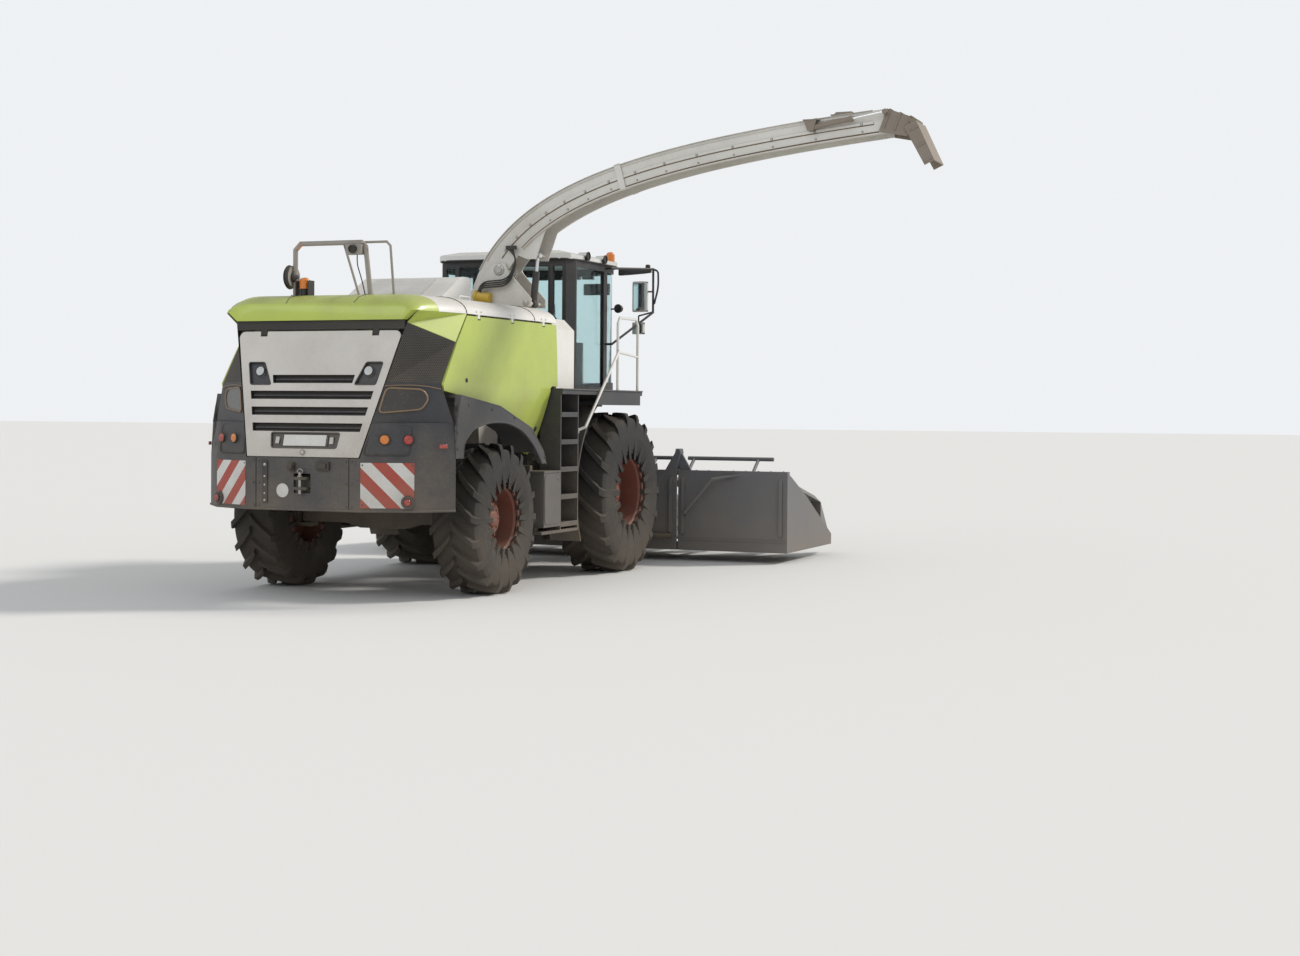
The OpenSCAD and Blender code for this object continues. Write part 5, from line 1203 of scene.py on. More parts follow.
def add_cab_rails():
    """The door's handle and button, the grab rails beside the doors and the rear window's seal."""
    handles = Shape()
    handles.tube(rounded([(0.015, 0.846, 2.62), (0.015, 0.892, 2.62), (0.015, 0.892, 2.80),
                          (0.015, 0.846, 2.80)], 0.02, 4) + (-0.125, 0, 0), 0.010, 10)
    handles.cap((-0.110, 0.846, 2.56), LEFT, 0.018, 0.012, 0.012, 0.016, 24)
    piece("door_handle", handles, "cab_door", "lamp_rubber")
    grab = Shape()
    grab.tube(rounded([(-0.215, 0.800, 2.30), (-0.230, 0.905, 2.30), (-0.230, 0.905, 3.02),
                       (-0.215, 0.800, 3.02)], 0.04, 5), 0.014, 12)
    grab.tube(rounded([(0.700, 0.850, 2.24), (0.715, 0.905, 2.24), (0.715, 0.905, 2.50),
                       (0.700, 0.850, 2.50)], 0.03, 5), 0.012, 12)
    piece("grab_rails", grab, "chassis", "cab_black")
    seals = Shape()
    corners = ((-0.570, 2.49), (0.570, 2.49), (0.570, 3.460), (-0.570, 3.460))
    rear = rounded([(-0.3015, y, z) for y, z in corners], 0.04, 4, ring=True)
    seals.tube(rear, 0.007, 8, ring=True)
    piece("window_seals", seals, "chassis", "lamp_rubber")


def add_cab_inside():
    """Display, console screen, drive lever, switches and steering hub, and the two arm rests."""
    inside = Shape()
    inside.prism(box_outline(-0.74, -0.42, 3.20, 3.335, 0.012), (1.020, 0, 0), LEFT, UP, (0, 0.035))
    inside.tube([(1.035, -0.70, 3.33), (1.035, -0.70, 3.47)], 0.010, 8)
    inside.prism(box_outline(-0.52, -0.30, 2.66, 2.84, 0.012), (0.560, 0, 0), LEFT, UP, (0, 0.030))
    inside.tube([(0.575, -0.43, 2.60), (0.575, -0.43, 2.70)], 0.012, 8)
    inside.tube(rounded([(0.36, -0.46, 2.60), (0.37, -0.46, 2.70), (0.40, -0.45, 2.76)], 0.05, 4),
                [0.020, 0.016, 0.014, 0.014, 0.016, 0.026, 0.028], 14)
    for x in np.linspace(0.10, 0.325, 6):
        inside.turned([(0.008, 0), (0.008, 0.010), (0.001, 0.011)], (x, -0.50, 2.61), UP, 12)
    inside.turned([(0.050, 0), (0.052, 0.020), (0.040, 0.034), (0.001, 0.036)], (0.760, 0, 2.812),
                  (-0.77, 0, 0.64), 28)
    piece("cab_fittings", inside, "chassis", "lamp_rubber", bevel=0.002)
    arm = Shape()
    for y in (-0.285, 0.255):
        arm.prism(box_outline(0.03, 0.42, -0.028, 0.028, 0.02), (0, y + 0.015, 2.640), AHEAD, UP,
                  (0, 0.055))
    arm.tube([(0.06, -0.30, 2.60), (0.04, -0.26, 2.40)], 0.014, 8)
    arm.tube([(0.06, 0.24, 2.60), (0.04, 0.22, 2.40)], 0.014, 8)
    piece("arm_rests", arm, "chassis", "cab_black", bevel=0.008)


def add_mirrors():
    """A large and a small mirror on each side: a flat pane, and over it a shell that narrows away from it."""
    panes = Shape()
    for low, high in (((0.964, 3.024), (1.116, 3.356)), ((0.962, 2.752), (1.078, 2.868))):
        outline = box_outline(low[0], high[0], low[1], high[1], 0.02)
        panes.prism(outline, (1.2900, 0, 0), LEFT, UP, (-0.0035, 0.0), 0)
    piece("mirror_panes", panes, "chassis", "mirror_glass", both=True)
    shells = Shape()
    rows = [(0.0, 1.02), (0.02, 1.025), (0.055, 1.0), (0.085, 0.86), (0.100, 0.5), (0.103, 0.05)]
    for low, high in (((0.950, 3.010), (1.130, 3.370)), ((0.950, 2.740), (1.090, 2.880))):
        centre = (np.array(low) + np.array(high)) / 2
        half = (np.array(high) - np.array(low)) / 2
        outline = box_outline(-half[0], half[0], -half[1], half[1], 0.03, 5)
        shells.grid(np.stack([np.column_stack([np.full(len(outline), 1.288 + d), centre + k * outline])
                              for d, k in rows]))
    piece("mirror_shells", shells, "chassis", "pale_panel", both=True)


def add_mirror_beams():
    """A tapering beam out to the mirrors on each side, the bow round them, a work lamp and its stay."""
    beam = Shape()
    outline = box_outline(-0.036, 0.036, -0.032, 0.032, 0.012)
    rows = [((1.270, 0.790, 3.486), 1.25), ((1.300, 0.950, 3.492), 1.1), ((1.322, 1.090, 3.498), 0.95),
            ((1.330, 1.170, 3.500), 0.7)]
    flat = np.column_stack([outline[:, 0], 0 * outline[:, 0], outline[:, 1]])
    beam.grid(np.stack([np.array(at) + k * flat for at, k in rows]))
    beam.tube(rounded([(1.330, 1.180, 3.520), (1.330, 1.262, 3.500), (1.330, 1.268, 3.300),
                       (1.330, 1.214, 3.100)], 0.1, 6), 0.012, 10)
    beam.cap((1.330, 1.130, 3.516), UP, 0.030, 0.050, 0.020, 0.060, 20)
    beam.turned([(0.052, 0), (0.054, 0.012), (0.044, 0.052), (0.020, 0.070), (0.001, 0.072)],
                (0.930, 0.905, 3.030), (1, 0.2, 0), 28)
    beam.tube([(0.860, 0.850, 3.02), (0.945, 0.905, 3.03)], 0.010, 8)
    piece("mirror_beams", beam, "chassis", "cab_black", both=True)


# Seat cushions, padded by simulation

def signed_power(q, k):
    """q raised to the power k, with the sign of q kept."""
    return np.sign(q) * abs(q) ** k


def soft_block(name, centre, half, rise, rake):
    """A rounded block for a pad: a superellipsoid with powers 0.30 round and 0.45 up, crowned by rise in its
    middle and turned by rake about Y."""
    u = np.linspace(-np.pi / 2, np.pi / 2, 25)[1:-1, None]
    v = np.linspace(0, 2 * np.pi, 48, endpoint=False)[None, :]
    x = half[0] * signed_power(np.cos(u), 0.30) * signed_power(np.cos(v), 0.30)
    y = half[1] * signed_power(np.cos(u), 0.30) * signed_power(np.sin(v), 0.30)
    crown = 1 + rise * (1 - (x / half[0]) ** 2) * (1 - (y / half[1]) ** 2)
    z = half[2] * signed_power(np.sin(u), 0.45) * crown + 0 * v
    c, s = math.cos(rake), math.sin(rake)
    shape = Shape()
    shape.grid(np.array(centre) + np.stack([c * x + s * z, y, -s * x + c * z], -1))
    return piece(name, shape, "chassis", "cushion_cloth", smooth=80)


def inflate(made, cap=0.012):
    """Remeshes the pad, lets cloth pressure swell it for twenty frames and caps each point's way."""
    remesh = made.modifiers.new("even", "REMESH")
    remesh.mode, remesh.voxel_size = "VOXEL", 0.011
    settle(made)
    start = np.empty(len(made.data.vertices) * 3)
    made.data.vertices.foreach_get("co", start)
    cloth = made.modifiers.new("swell", "CLOTH")
    cloth.settings.quality = 6
    cloth.settings.use_pressure = True
    cloth.settings.uniform_pressure_force = 4.0
    cloth.settings.effector_weights.gravity = 0.0
    cloth.settings.tension_stiffness = cloth.settings.compression_stiffness = 22
    cloth.settings.shear_stiffness = 12
    for number in range(1, 21):
        scene.frame_set(number)
    settle(made)
    scene.frame_set(1)
    end = np.empty(len(made.data.vertices) * 3)
    made.data.vertices.foreach_get("co", end)
    way = (end - start).reshape(-1, 3)
    length = np.linalg.norm(way, axis=1, keepdims=True)
    kept = start.reshape(-1, 3) + way * np.minimum(1, cap / np.maximum(length, 1e-9))
    made.data.vertices.foreach_set("co", kept.ravel())


def settle(made):
    """Replaces the object's mesh by what its modifiers make of it."""
    graph = bpy.context.evaluated_depsgraph_get()
    baked = bpy.data.meshes.new_from_object(made.evaluated_get(graph))
    made.modifiers.clear()
    made.data = baked


def sew_channels(made, axis, spots, depth):
    """Presses seams across the pad: a point sinks inwards by depth * exp(-(way to the seam / 8 mm)^2)."""
    mesh = made.data
    co = np.empty(len(mesh.vertices) * 3)
    mesh.vertices.foreach_get("co", co)
    co = co.reshape(-1, 3)
    centre = co.mean(0)
    along = (co - PLACE) @ np.array(axis)
    sink = sum(np.exp(-((along - spot) / 0.008) ** 2) for spot in spots) * depth
    co += unit(centre - co) * sink[:, None]
    mesh.vertices.foreach_set("co", co.ravel())
    mesh.shade_smooth()


def add_seat():
    """The seat's cushion and back: two soft blocks, swollen by the simulation and sewn into channels."""
    seat = soft_block("seat_pad", (0.293, 0.0, 2.460), (0.222, 0.218, 0.043), 0.05, 0.03)
    back = soft_block("seat_back_pad", (0.018, 0.0, 2.830), (0.042, 0.205, 0.292), 0.0, -0.185)
    for made in (seat, back):
        inflate(made)
    sew_channels(seat, LEFT, (-0.13, 0.13), 0.006)
    sew_channels(back, LEFT, (-0.125, 0.125), 0.006)
    sew_channels(back, UP, (2.70, 2.86, 3.00), 0.004)
    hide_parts("seat_cushion")


# Spout

SPOUT_FOOT = np.array([-1.200, 0.0, 0.0])
SPOUT_CURVE = np.array([(0.150, 3.150), (0.550, 4.200), (1.900, 4.600), (4.730, 4.850)])
SPOUT_DEPTH, SPOUT_HALF = 0.270, 0.165
RIB_SHARE = 0.43
LIFT_PIN, BASE_PIN, CHEEK_FACE = (0.480, 3.330), (0.800, 2.970), 0.197
FLAP_PIN = np.array([4.742, 4.816])


def spout_top(t):
    """The cubic curve of the arm's top edge and its unit direction, rows of [reach, height]."""
    t = np.atleast_1d(np.asarray(t, float))[:, None]
    a, b, c, d = SPOUT_CURVE
    at = (1 - t) ** 3 * a + 3 * t * (1 - t) ** 2 * b + 3 * t * t * (1 - t) * c + t ** 3 * d
    run = 3 * (1 - t) ** 2 * (b - a) + 6 * t * (1 - t) * (c - b) + 3 * t * t * (d - c)
    return at, unit(run)


def on_spout(reach, aside, height):
    """Spout places: reach from the turntable, aside towards the machine's front, height above the ground."""
    reach, aside, height = np.broadcast_arrays(reach, aside, height)
    return SPOUT_FOOT + np.stack([aside, -reach, height], -1)


def wall_depth(t):
    """Depth of the arm's side wall, which falls evenly along the arm."""
    return SPOUT_DEPTH * (1.1 - 0.2 * t)


def under_top(t, depth):
    """Places under the arm's top edge, square to it by the depth, as rows of [reach, height]."""
    at, run = spout_top(t)
    depth = np.broadcast_to(np.asarray(depth, float), (len(at),))
    return at + depth[:, None] * np.column_stack([run[:, 1], -run[:, 0]])


def spout_strip(shape, t0, t1, aside, depth, share=(0, 0), n=40):
    """A bar of oblong section along the arm, between two sideways places and two depths under its top edge.
    Each depth grows by its share of the wall's depth at t."""
    t = np.linspace(t0, t1, n)
    grid = []
    for out, row in ((aside[0], 0), (aside[1], 0), (aside[1], 1), (aside[0], 1)):
        spot = under_top(t, share[row] * wall_depth(t) + depth[row])
        grid.append(on_spout(spot[:, 0], out, spot[:, 1]))
    shape.grid(np.stack(grid, 1))


def add_spout_ribs():
    """Raised ribs along both sides of the arm, its top plate, and painted shadow: dark brown strips under the
    middle ribs and over the bottom flanges.
    """
    bars = Shape()
    for side in (-1, 1):
        edge = side * SPOUT_HALF
        spout_strip(bars, 0.10, 0.985, (edge, edge + side * 0.010), (0.022, 0.030))
        spout_strip(bars, 0.14, 0.985, (edge, edge + side * 0.012), (0, 0.030), (RIB_SHARE, RIB_SHARE))
        spout_strip(bars, 0.22, 0.990, (edge - side * 0.002, edge + side * 0.026), (-0.012, -0.002), (1, 1))
    spout_strip(bars, 0.06, 0.985, (-0.182, 0.182), (-0.0065, 0.0))
    piece("spout_ribs", bars, "spout_arm", "spout_paint", bevel=0.002)
    # Painted shadow: thin dark brown strips just under each middle rib and just above each bottom flange,
    # where the ribs' shade falls
    shadow_strips = Shape()
    for side in (-1, 1):
        edge = side * SPOUT_HALF
        spout_strip(shadow_strips, 0.14, 0.985, (edge, edge + side * 0.004), (0.030, 0.039),
                    (RIB_SHARE, RIB_SHARE))
        spout_strip(shadow_strips, 0.22, 0.990, (edge, edge + side * 0.003), (-0.030, -0.012), (1, 1))
    piece("spout_shadow_gaps", shadow_strips, "spout_arm", "shadow_brown")


def add_spout_bolts():
    """Rows of bolts along the arm's sides, and the collar over its middle joint."""
    heads = Shape()
    for side in (-1, 1):
        for t in np.linspace(0.17, 0.97, 14):
            spot = under_top(t, RIB_SHARE * wall_depth(t) + 0.015)[0]
            place = on_spout(spot[0], side * (SPOUT_HALF + 0.012), spot[1])
            heads.bolts([place], (side, 0, 0), 0.012, 0.009)
            if t > 0.3:
                spot = under_top(t, 0.80 * wall_depth(t))[0]
                heads.bolts([on_spout(spot[0], side * SPOUT_HALF, spot[1])], (side, 0, 0), 0.009, 0.007)
    piece("spout_bolts", heads, "spout_arm", "worn_steel")
    collar = Shape()
    joint, beyond = 0.56, 0.574
    for side in (-1, 1):
        spout_strip(collar, joint, beyond, (side * SPOUT_HALF, side * 0.188), (-0.010, 0.004), (0, 1), n=3)
    spout_strip(collar, joint, beyond, (-0.188, 0.188), (-0.016, -0.004), n=3)
    piece("spout_collar", collar, "spout_arm", "spout_paint", bevel=0.002)


def add_spout_foot():
    """Pin caps on the cheeks, the turntable's stepped ring with its bolts, and the motor that turns it."""
    pins = Shape()
    for side in (-1, 1):
        out = (side, 0, 0)
        pins.turned([(0.062, 0), (0.062, 0.006), (0.046, 0.010), (0.034, 0.010), (0.034, 0.018),
                     (0.001, 0.018)], on_spout(LIFT_PIN[0], side * CHEEK_FACE, LIFT_PIN[1]), out, 32)
        a = np.arange(6) * 1.047
        ring = on_spout(LIFT_PIN[0] + 0.050 * np.cos(a), side * 0.203, LIFT_PIN[1] + 0.050 * np.sin(a))
        pins.bolts(ring, out, 0.007, 0.006)
        pins.cap(on_spout(BASE_PIN[0], side * CHEEK_FACE, BASE_PIN[1]), out, 0.034, 0.008, 0.020, 0.012)
    piece("spout_pin_caps", pins, "spout_turn", "worn_steel")
    ring = Shape()
    ring.turned([(0.316, 2.905), (0.330, 2.905), (0.330, 2.925), (0.345, 2.930), (0.345, 2.950),
                 (0.316, 2.956)], SPOUT_FOOT, UP, 96)
    a = np.arange(24) * math.pi / 12
    ring.bolts(level_ring(SPOUT_FOOT, 0.285, 2.960, a), UP, 0.010, 0.008)
    piece("turntable_ring", ring, "spout_turn", "spout_paint")
    motor = Shape()
    motor.turned([(0.050, -0.10), (0.054, -0.09), (0.054, 0.05), (0.066, 0.055), (0.066, 0.085),
                  (0.030, 0.09), (0.030, 0.11), (0.001, 0.11)],
                 on_spout(0.30, -0.235, 3.040), (0, 1, 0.12), 32)
    motor.block(on_spout(0.24, -0.255, 2.962), on_spout(0.36, -0.197, 3.000))
    piece("spout_motor", motor, "spout_turn", "yellow_paint", bevel=0.003)


def add_spout_hoses():
    """Four hoses that bow up at the spout's foot, and two along the arm's top in clips."""
    hoses = Shape()
    for k in range(4):
        drop = 0.022 * k
        path = rounded([on_spout(0.22 + 0.02 * k, -0.235, 3.02),
                        on_spout(0.30, -0.262 - 0.006 * k, 3.20 - drop),
                        on_spout(0.62, -0.240, 3.22 - drop), on_spout(0.70, -0.222, 3.46 - drop),
                        on_spout(0.585 + 0.02 * k, -0.212, 3.56)], 0.14, 7)
        hoses.tube(path, 0.0085, 8)
    hoses.block(on_spout(0.57, -0.225, 3.545), on_spout(0.69, -0.197, 3.585))
    piece("spout_base_hoses", hoses, "spout_turn", "hose_rubber")
    runs = Shape()
    t = np.linspace(0.20, 0.90, 40)
    for k in (0, 1):
        spot = under_top(t, 0.012 * np.sin(t * 40) * 0.2 - 0.013)
        runs.tube(on_spout(spot[:, 0], 0.060 + 0.020 * k, spot[:, 1]), 0.007, 8)
    piece("spout_hose_runs", runs, "spout_arm", "hose_rubber")
    clips = Shape()
    for q in np.linspace(0.24, 0.88, 8):
        spout_strip(clips, q, q + 0.004, (0.048, 0.092), (-0.024, 0.0), n=3)
    piece("spout_hose_clips", clips, "spout_arm", "worn_steel")


def edge_and_down(a, b):
    """Both ends of an edge, [reach, height], and the unit vector square to it on its lower side."""
    a, b = np.array(a), np.array(b)
    run = unit(b - a)
    return a, b, np.array([run[1], -run[0]])


def add_flap_cylinder():
    """The flap's small cylinder lies along the arm's rear side; its rod ends on the flap's own pin."""
    arm = Shape()
    start, end, aside = np.array([3.98, 4.690]), FLAP_PIN, -0.222

    def line(k):
        """The place at the share k of the cylinder's length."""
        spot = start + k * (end - start)
        return on_spout(spot[0], aside, spot[1])

    arm.tube([line(0.03), line(0.56)], 0.027, 20)
    arm.tube([line(0.52), line(0.57)], 0.031, 20)
    arm.tube([line(0.57), line(0.985)], 0.013, 16, finish=1)
    arm.turned([(0.026, -0.024), (0.026, 0.024)], line(0.0), AHEAD, 20)
    arm.turned([(0.026, -0.018), (0.026, 0.018)], line(1.0), AHEAD, 20)
    for side in (-0.252, -0.196):
        s_at, z_at = start
        outline = [(s_at - 0.07, z_at + 0.07), (s_at + 0.07, z_at + 0.09), (s_at + 0.03, z_at - 0.035),
                   (s_at - 0.03, z_at - 0.035)]
        flat = np.array([on_spout(p, side, z) for p, z in outline])
        arm.grid(np.stack([flat - (0.004, 0, 0), flat + (0.004, 0, 0)]))
    arm.block(on_spout(3.90, -0.260, 4.762), on_spout(4.06, -0.165, 4.772))
    arm.block(on_spout(4.16, -0.150, 4.815), on_spout(4.42, 0.150, 4.826))
    cheek = [(4.16, 4.800), (4.42, 4.824), (4.38, 4.847), (4.22, 4.847)]
    for side in (-0.140, 0.132):
        arm.prism(cheek, on_spout(0, side, 0), RIGHT, UP, (0, 0.008))
    arm.tube([on_spout(4.24, -0.10, 4.834), on_spout(4.24, 0.10, 4.834)], 0.012, 12)
    arm.tube([on_spout(4.33, -0.12, 4.834), on_spout(4.33, 0.12, 4.834)], 0.012, 12)
    piece("flap_cylinder", arm, "spout_arm", "flap_metal", "rod_chrome", bevel=0.002)


def add_flap_ribs():
    """The flap's pin caps, and three ribs that run down its sides and over its top."""
    flap = Shape()
    for side in (-1, 1):
        flap.turned([(0.032, 0), (0.032, 0.008), (0.020, 0.010), (0.020, 0.018), (0.001, 0.018)],
                    on_spout(FLAP_PIN[0], side * 0.188, FLAP_PIN[1]), (side, 0, 0), 28)
    a, b, down = edge_and_down((4.756, 4.850), (5.032, 4.746))
    for k in (0.12, 0.50, 0.88):
        spot = a + k * (b - a)
        width = 0.010 * unit(b - a)
        for side in (-1, 1):
            low, high = spot - 0.004 * down, spot + 0.20 * (1 - 0.2 * k) * down
            rows = [low - width, low + width, high + width, high - width]
            flat = np.array([on_spout(s, side * 0.187, z) for s, z in rows])
            flap.grid(np.stack([flat, flat + (side * 0.008, 0, 0)]))
        rows = [spot - width, spot + width, spot + width - 0.008 * down, spot - width - 0.008 * down]
        flat = np.array([on_spout(s, -0.195, z) for s, z in rows])
        flap.grid(np.stack([flat, flat + (0.39, 0, 0)]))
    piece("flap_ribs", flap, "spout_flap", "flap_metal", bevel=0.0015)


def add_tip_ribs():
    """Three short ribs and two bolts on each side of the tip."""
    tip = Shape()
    a, b, down = edge_and_down((5.053, 4.717), (5.242, 4.316))
    for k in (0.15, 0.55, 0.93):
        spot = a + k * (b - a)
        width = 0.008 * unit(b - a)
        for side in (-1, 1):
            rows = [spot + 0.006 * down - width, spot + 0.006 * down + width, spot + 0.10 * down + width,
                    spot + 0.10 * down - width]
            flat = np.array([on_spout(s, side * 0.210, z) for s, z in rows])
            tip.grid(np.stack([flat, flat + (side * 0.006, 0, 0)]))
    for side in (-1, 1):
        for k in (0.3, 0.75):
            spot = a + k * (b - a) + 0.05 * down
            tip.bolts([on_spout(spot[0], side * 0.210, spot[1])], AHEAD, 0.010, 0.006)
    piece("tip_ribs", tip, "spout_tip", "flap_metal", bevel=0.0015)


# Sides between the axles, steps and front fenders

BOX_FACE, STEP_HEIGHTS = 1.330, (0.60, 0.89, 1.18, 1.47, 1.76)


def add_storage_boxes():
    """Raised panels with round corners on the storage boxes, their lid's edge and their lock."""
    ribs = Shape()
    ribs.prism(box_outline(-0.190, 0.190, 0.63, 1.15, 0.05, 6), (-1.845, BOX_FACE, 0), BACK, UP, (0, 0.006))
    ribs.prism(box_outline(1.07, 1.31, 0.63, 1.15, 0.05, 6), (-2.050, 0, 0), LEFT, UP, (-0.006, 0))
    ribs.block((-2.056, 1.044, 1.165), (-1.634, 1.336, 1.186))
    ribs.cap((-1.700, BOX_FACE, 1.10), LEFT, 0.020, 0.008, 0.012, 0.012, 24)
    piece("storage_box_ribs", ribs, "chassis", "box_grey", both=True, bevel=0.002)


def add_steps():
    """Cross ribs and an edge on each step, and a bead along the platform's outer edge."""
    steps = Shape()
    for z in STEP_HEIGHTS:
        for x in np.linspace(-1.595, -1.211, 9):
            steps.block((x, 1.095, z + 0.030), (x + 0.010, 1.325, z + 0.037))
        steps.block((-1.618, 1.322, z - 0.012), (-1.192, 1.332, z + 0.040))
    piece("step_treads", steps, "chassis", "dark_paint", both=True)
    edge = Shape()
    for rear, front in ((-1.005, 0.615), (-1.640, -1.015)):
        edge.tube([(rear, 1.352, 2.040), (front, 1.352, 2.040)], 0.010, 8)
    piece("platform_edges", edge, "chassis", "dark_paint", both=True)


def add_fender_lips():
    """Two beads round each front fender, arcs about the wheel's middle, and three bolts."""
    lip = Shape()
    a = np.radians(np.linspace(28, 116, 40))
    for y in (0.945, 1.290):
        lip.tube(np.stack([-1.130 * np.sin(a), 0 * a + y, 0.9 + 1.130 * np.cos(a)], -1), 0.012, 8)
    lip.bolts([(-1.140 * math.sin(q), 1.12, 0.9 + 1.140 * math.cos(q)) for q in (0.7, 1.3, 1.8)],
              (-1, 0, 0.2), 0.010, 0.006)
    piece("front_fender_lips", lip, "chassis", "dark_paint", both=True)


def add_hinges_and_pipes():
    """Bolts of the side panels' hinges, and two pipes behind the steps."""
    panel = Shape()
    for x in (-3.300, -2.550, -1.800):
        panel.bolts([(x + d, 1.2003, 2.770) for d in (-0.05, 0.05)], LEFT, 0.008, 0.004)
    piece("hinge_bolts", panel, "chassis", "white_paint", both=True)
    tank = Shape()
    tank.tube(rounded([(-1.62, 0.98, 1.30), (-1.10, 0.98, 1.30), (-0.98, 0.98, 1.20), (-0.98, 0.96, 0.70)],
                      0.08, 6), 0.022, 12)
    tank.tube(rounded([(-1.62, 0.93, 1.38), (-1.06, 0.93, 1.38), (-0.93, 0.93, 1.26), (-0.93, 0.90, 0.72)],
                      0.08, 6), 0.016, 12)
    piece("side_pipes", tank, "chassis", "hose_rubber", both=True)


def add_latches():
    """Two flush catches on each side panel, low in front and higher behind."""
    for label, side in SIDES[::-1]:
        catch = Shape()
        spot, off = np.array([-1.780, panel_face(1.62), 1.62]), unit((0, 1.0, -0.32))
        catch.turned([(0.030, 0.0), (0.030, 0.004), (0.024, 0.007), (0.014, 0.004), (0.001, 0.004)],
                     spot * (1, side, 1), off * (1, side, 1), 28)
        spot = np.array([-3.60, panel_face(2.10), 2.10])
        catch.cap(spot * (1, side, 1), (0, side, 0), 0.022, 0.004, 0.016, 0.006)
        piece("panel_catch_" + label, catch, "side_panel_" + label, "lamp_rubber")


def panel_face(z):
    """Distance of a side panel's outer face from the middle at a height: widest at 2.01 m."""
    if z > 2.010:
        return 1.222 - 0.022 * ((z - 2.010) / 0.713) ** 2
    t = (2.010 - z) / 0.670
    return 1.222 - 0.240 * (0.75 * t + 0.25 * t * t)


# Header

ROTOR_X, ROTOR_PITCH, WALL_BACK = 2.450, 1.390, 1.700
TIP_X, TIP_Z = 3.860, 0.146
HEADER_WALLS = (("wing_right", -2.77, -1.41, 2), ("lift", -1.37, 1.37, 9), ("wing_left", 1.41, 2.77, 2))


def add_header_walls():
    """Upright ribs, a foot bar and a row of bolts on the back of each part of the header."""
    rib = [(0, 0.30), (0.035, 0.34), (0.035, 0.96), (0, 1.02)]
    for part, low, high, count in HEADER_WALLS:
        body = "header_" + part
        wall = Shape()
        for y in np.linspace(low + 0.06, high - 0.06, count):
            if part == "lift" and abs(y) < 0.42:
                continue
            wall.prism(rib, (WALL_BACK, y - 0.02, 0), BACK, UP, (0, 0.040))
        wall.block((1.690, low, 0.255), (1.722, high, 0.275))
        wall.bolts([(1.76, y, 1.1000) for y in np.linspace(low + 0.05, high - 0.05, 9)], UP, 0.009, 0.007)
        piece("back_ribs_" + part, wall, body, "header_grey", bevel=0.002)


def add_header_shaft():
    """The drive shaft along the header's back, and its two gearboxes' covers."""
    shafts = Shape()
    shafts.tube([(1.655, -1.33, 0.300), (1.655, 1.33, 0.300)], 0.030, 16)
    for y in (-0.695, 0.695):
        shafts.block((1.615, y - 0.09, 0.235), (1.700, y + 0.09, 0.365))
        shafts.bolts([(1.615, y + d, z) for d in (-0.07, 0.07) for z in (0.255, 0.345)], BACK, 0.008, 0.006)
    piece("header_shaft", shafts, "header_lift", "chassis_paint", bevel=0.003)


def add_rotor_caps():
    """A domed cap and two rings of bolts on each rotor."""
    for n in (1, 2, 3, 4):
        hub = np.array([ROTOR_X, (n - 2.5) * ROTOR_PITCH, 0.0])
        rotor = Shape()
        rotor.turned([(0.16, 0.812), (0.16, 0.832), (0.09, 0.846), (0.002, 0.848)], hub, UP, 40)
        rotor.bolts(level_ring(hub, 0.13, 0.832, np.arange(6) * math.pi / 3), UP, 0.011, 0.009)
        rotor.bolts(level_ring(hub, 0.60, 0.252, np.arange(12) * math.pi / 6), UP, 0.009, 0.006)
        piece("rotor_cap_%d" % n, rotor, "rotor_%d" % n, "worn_steel")


def divider_tips(name, body, places):
    """Steel points over the noses of the dividers that stand at these places across."""
    tips = Shape()
    for y in places:
        tips.turned([(0.030, -0.10), (0.024, -0.02), (0.010, 0.030), (0.002, 0.039)], (TIP_X, y, TIP_Z),
                    AHEAD, 20)
    piece(name, tips, body, "worn_steel")


def add_divider_tips():
    """Five points on the middle of the header, and two on each wing."""
    divider_tips("divider_tips", "header_lift", (0.0, 1.285, -1.285, 0.695, -0.695))
    for label, side in SIDES:
        divider_tips("divider_tips_" + label, "header_wing_" + label, (side * 2.085, side * 2.690))


# CAD faces that stay, joined and shaded smooth over shallow edges

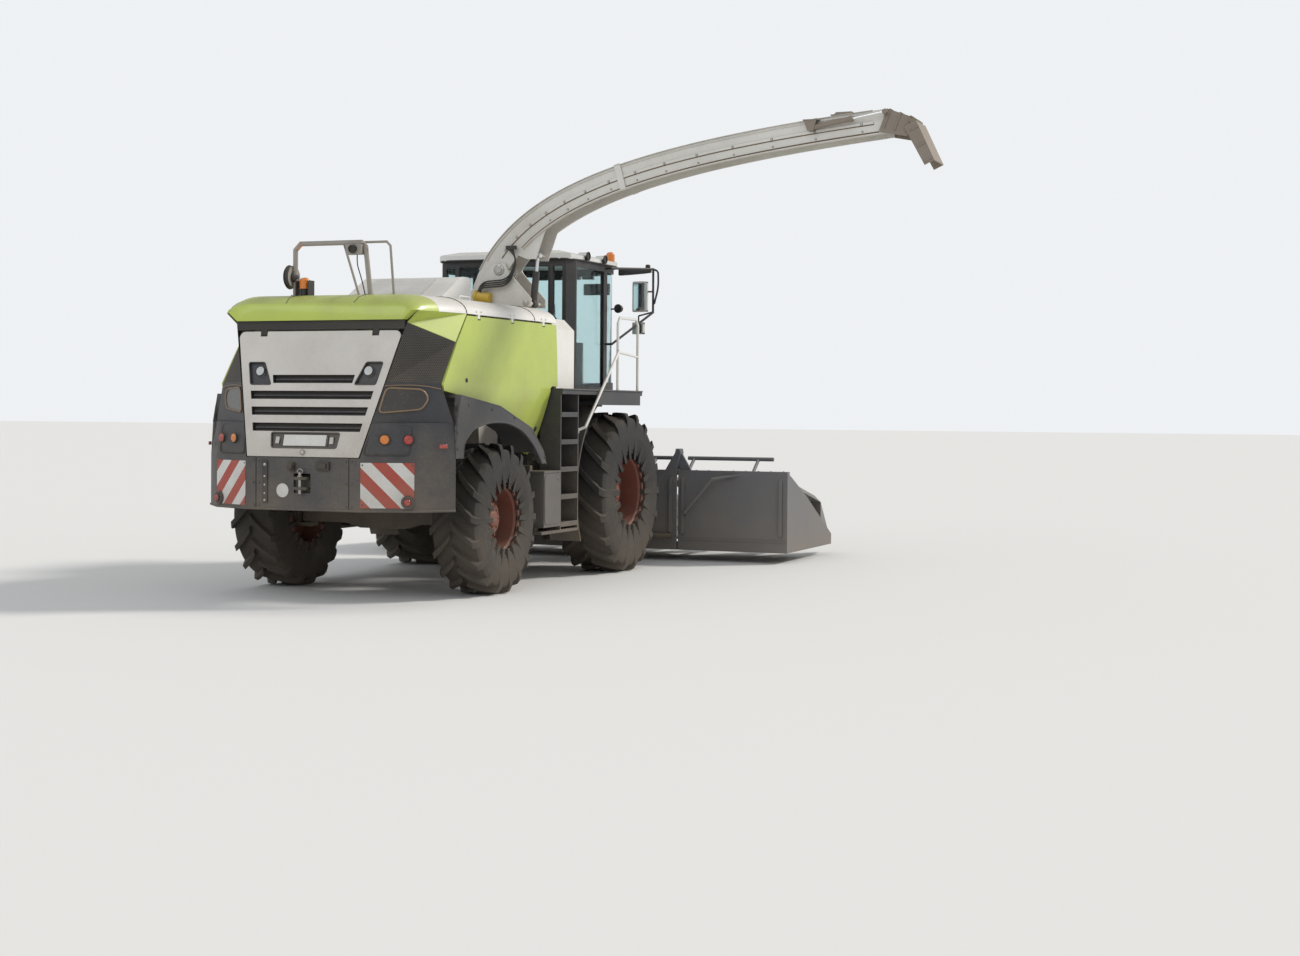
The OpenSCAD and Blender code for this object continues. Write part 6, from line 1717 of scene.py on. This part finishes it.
def smooth_nodes():
    """Each CAD node gets a live tool that joins its loose triangles and keeps edges over 28 degrees sharp."""
    tree = bpy.data.node_groups.new("join_and_smooth", "GeometryNodeTree")
    tree.interface.new_socket("Geometry", in_out="INPUT", socket_type="NodeSocketGeometry")
    tree.interface.new_socket("Geometry", in_out="OUTPUT", socket_type="NodeSocketGeometry")
    nodes, links = tree.nodes, tree.links
    given, made = nodes.new("NodeGroupInput"), nodes.new("NodeGroupOutput")
    join = nodes.new("GeometryNodeMergeByDistance")
    join.inputs["Distance"].default_value = 0.00002
    angle = nodes.new("GeometryNodeInputMeshEdgeAngle")
    shallow = nodes.new("FunctionNodeCompare")
    shallow.data_type, shallow.operation = "FLOAT", "LESS_THAN"
    shallow.inputs[1].default_value = math.radians(28)
    edges, faces = nodes.new("GeometryNodeSetShadeSmooth"), nodes.new("GeometryNodeSetShadeSmooth")
    edges.domain, faces.domain = "EDGE", "FACE"
    links.new(given.outputs[0], join.inputs["Geometry"])
    links.new(join.outputs["Geometry"], faces.inputs["Geometry"])
    links.new(faces.outputs["Geometry"], edges.inputs["Geometry"])
    links.new(angle.outputs["Unsigned Angle"], shallow.inputs[0])
    links.new(shallow.outputs["Result"], edges.inputs["Shade Smooth"])
    links.new(edges.outputs["Geometry"], made.inputs[0])
    for node in frame["nodes"].values():
        tool = node.modifiers.new("join_and_smooth", "NODES")
        tool.node_group = tree
        weigh = node.modifiers.new("even_normals", "WEIGHTED_NORMAL")
        weigh.keep_sharp = True


add_camera()
add_studio()
MATERIALS = make_materials()
dress_nodes(MATERIALS)
add_tyres()
add_warning_plates()
add_tail_lamps()
add_lamp_frames()
add_tail_fittings()
add_tow_pin()
add_bumper_trim()
add_grille()
add_grille_lamps()
add_plate_frame()
add_cooler_frame()
add_corner_panes()
add_arch_lips()
add_guard_parts()
add_guard_camera()
add_deck_seams()
add_deck_fittings()
add_roof_parts()
add_wipers()
add_cab_rails()
add_cab_inside()
add_mirrors()
add_mirror_beams()
add_seat()
add_spout_ribs()
add_spout_bolts()
add_spout_foot()
add_spout_hoses()
add_flap_cylinder()
add_flap_ribs()
add_tip_ribs()
add_storage_boxes()
add_steps()
add_fender_lips()
add_hinges_and_pipes()
add_latches()
add_header_walls()
add_header_shaft()
add_rotor_caps()
add_divider_tips()
smooth_nodes()

bpy.context.view_layer.update()
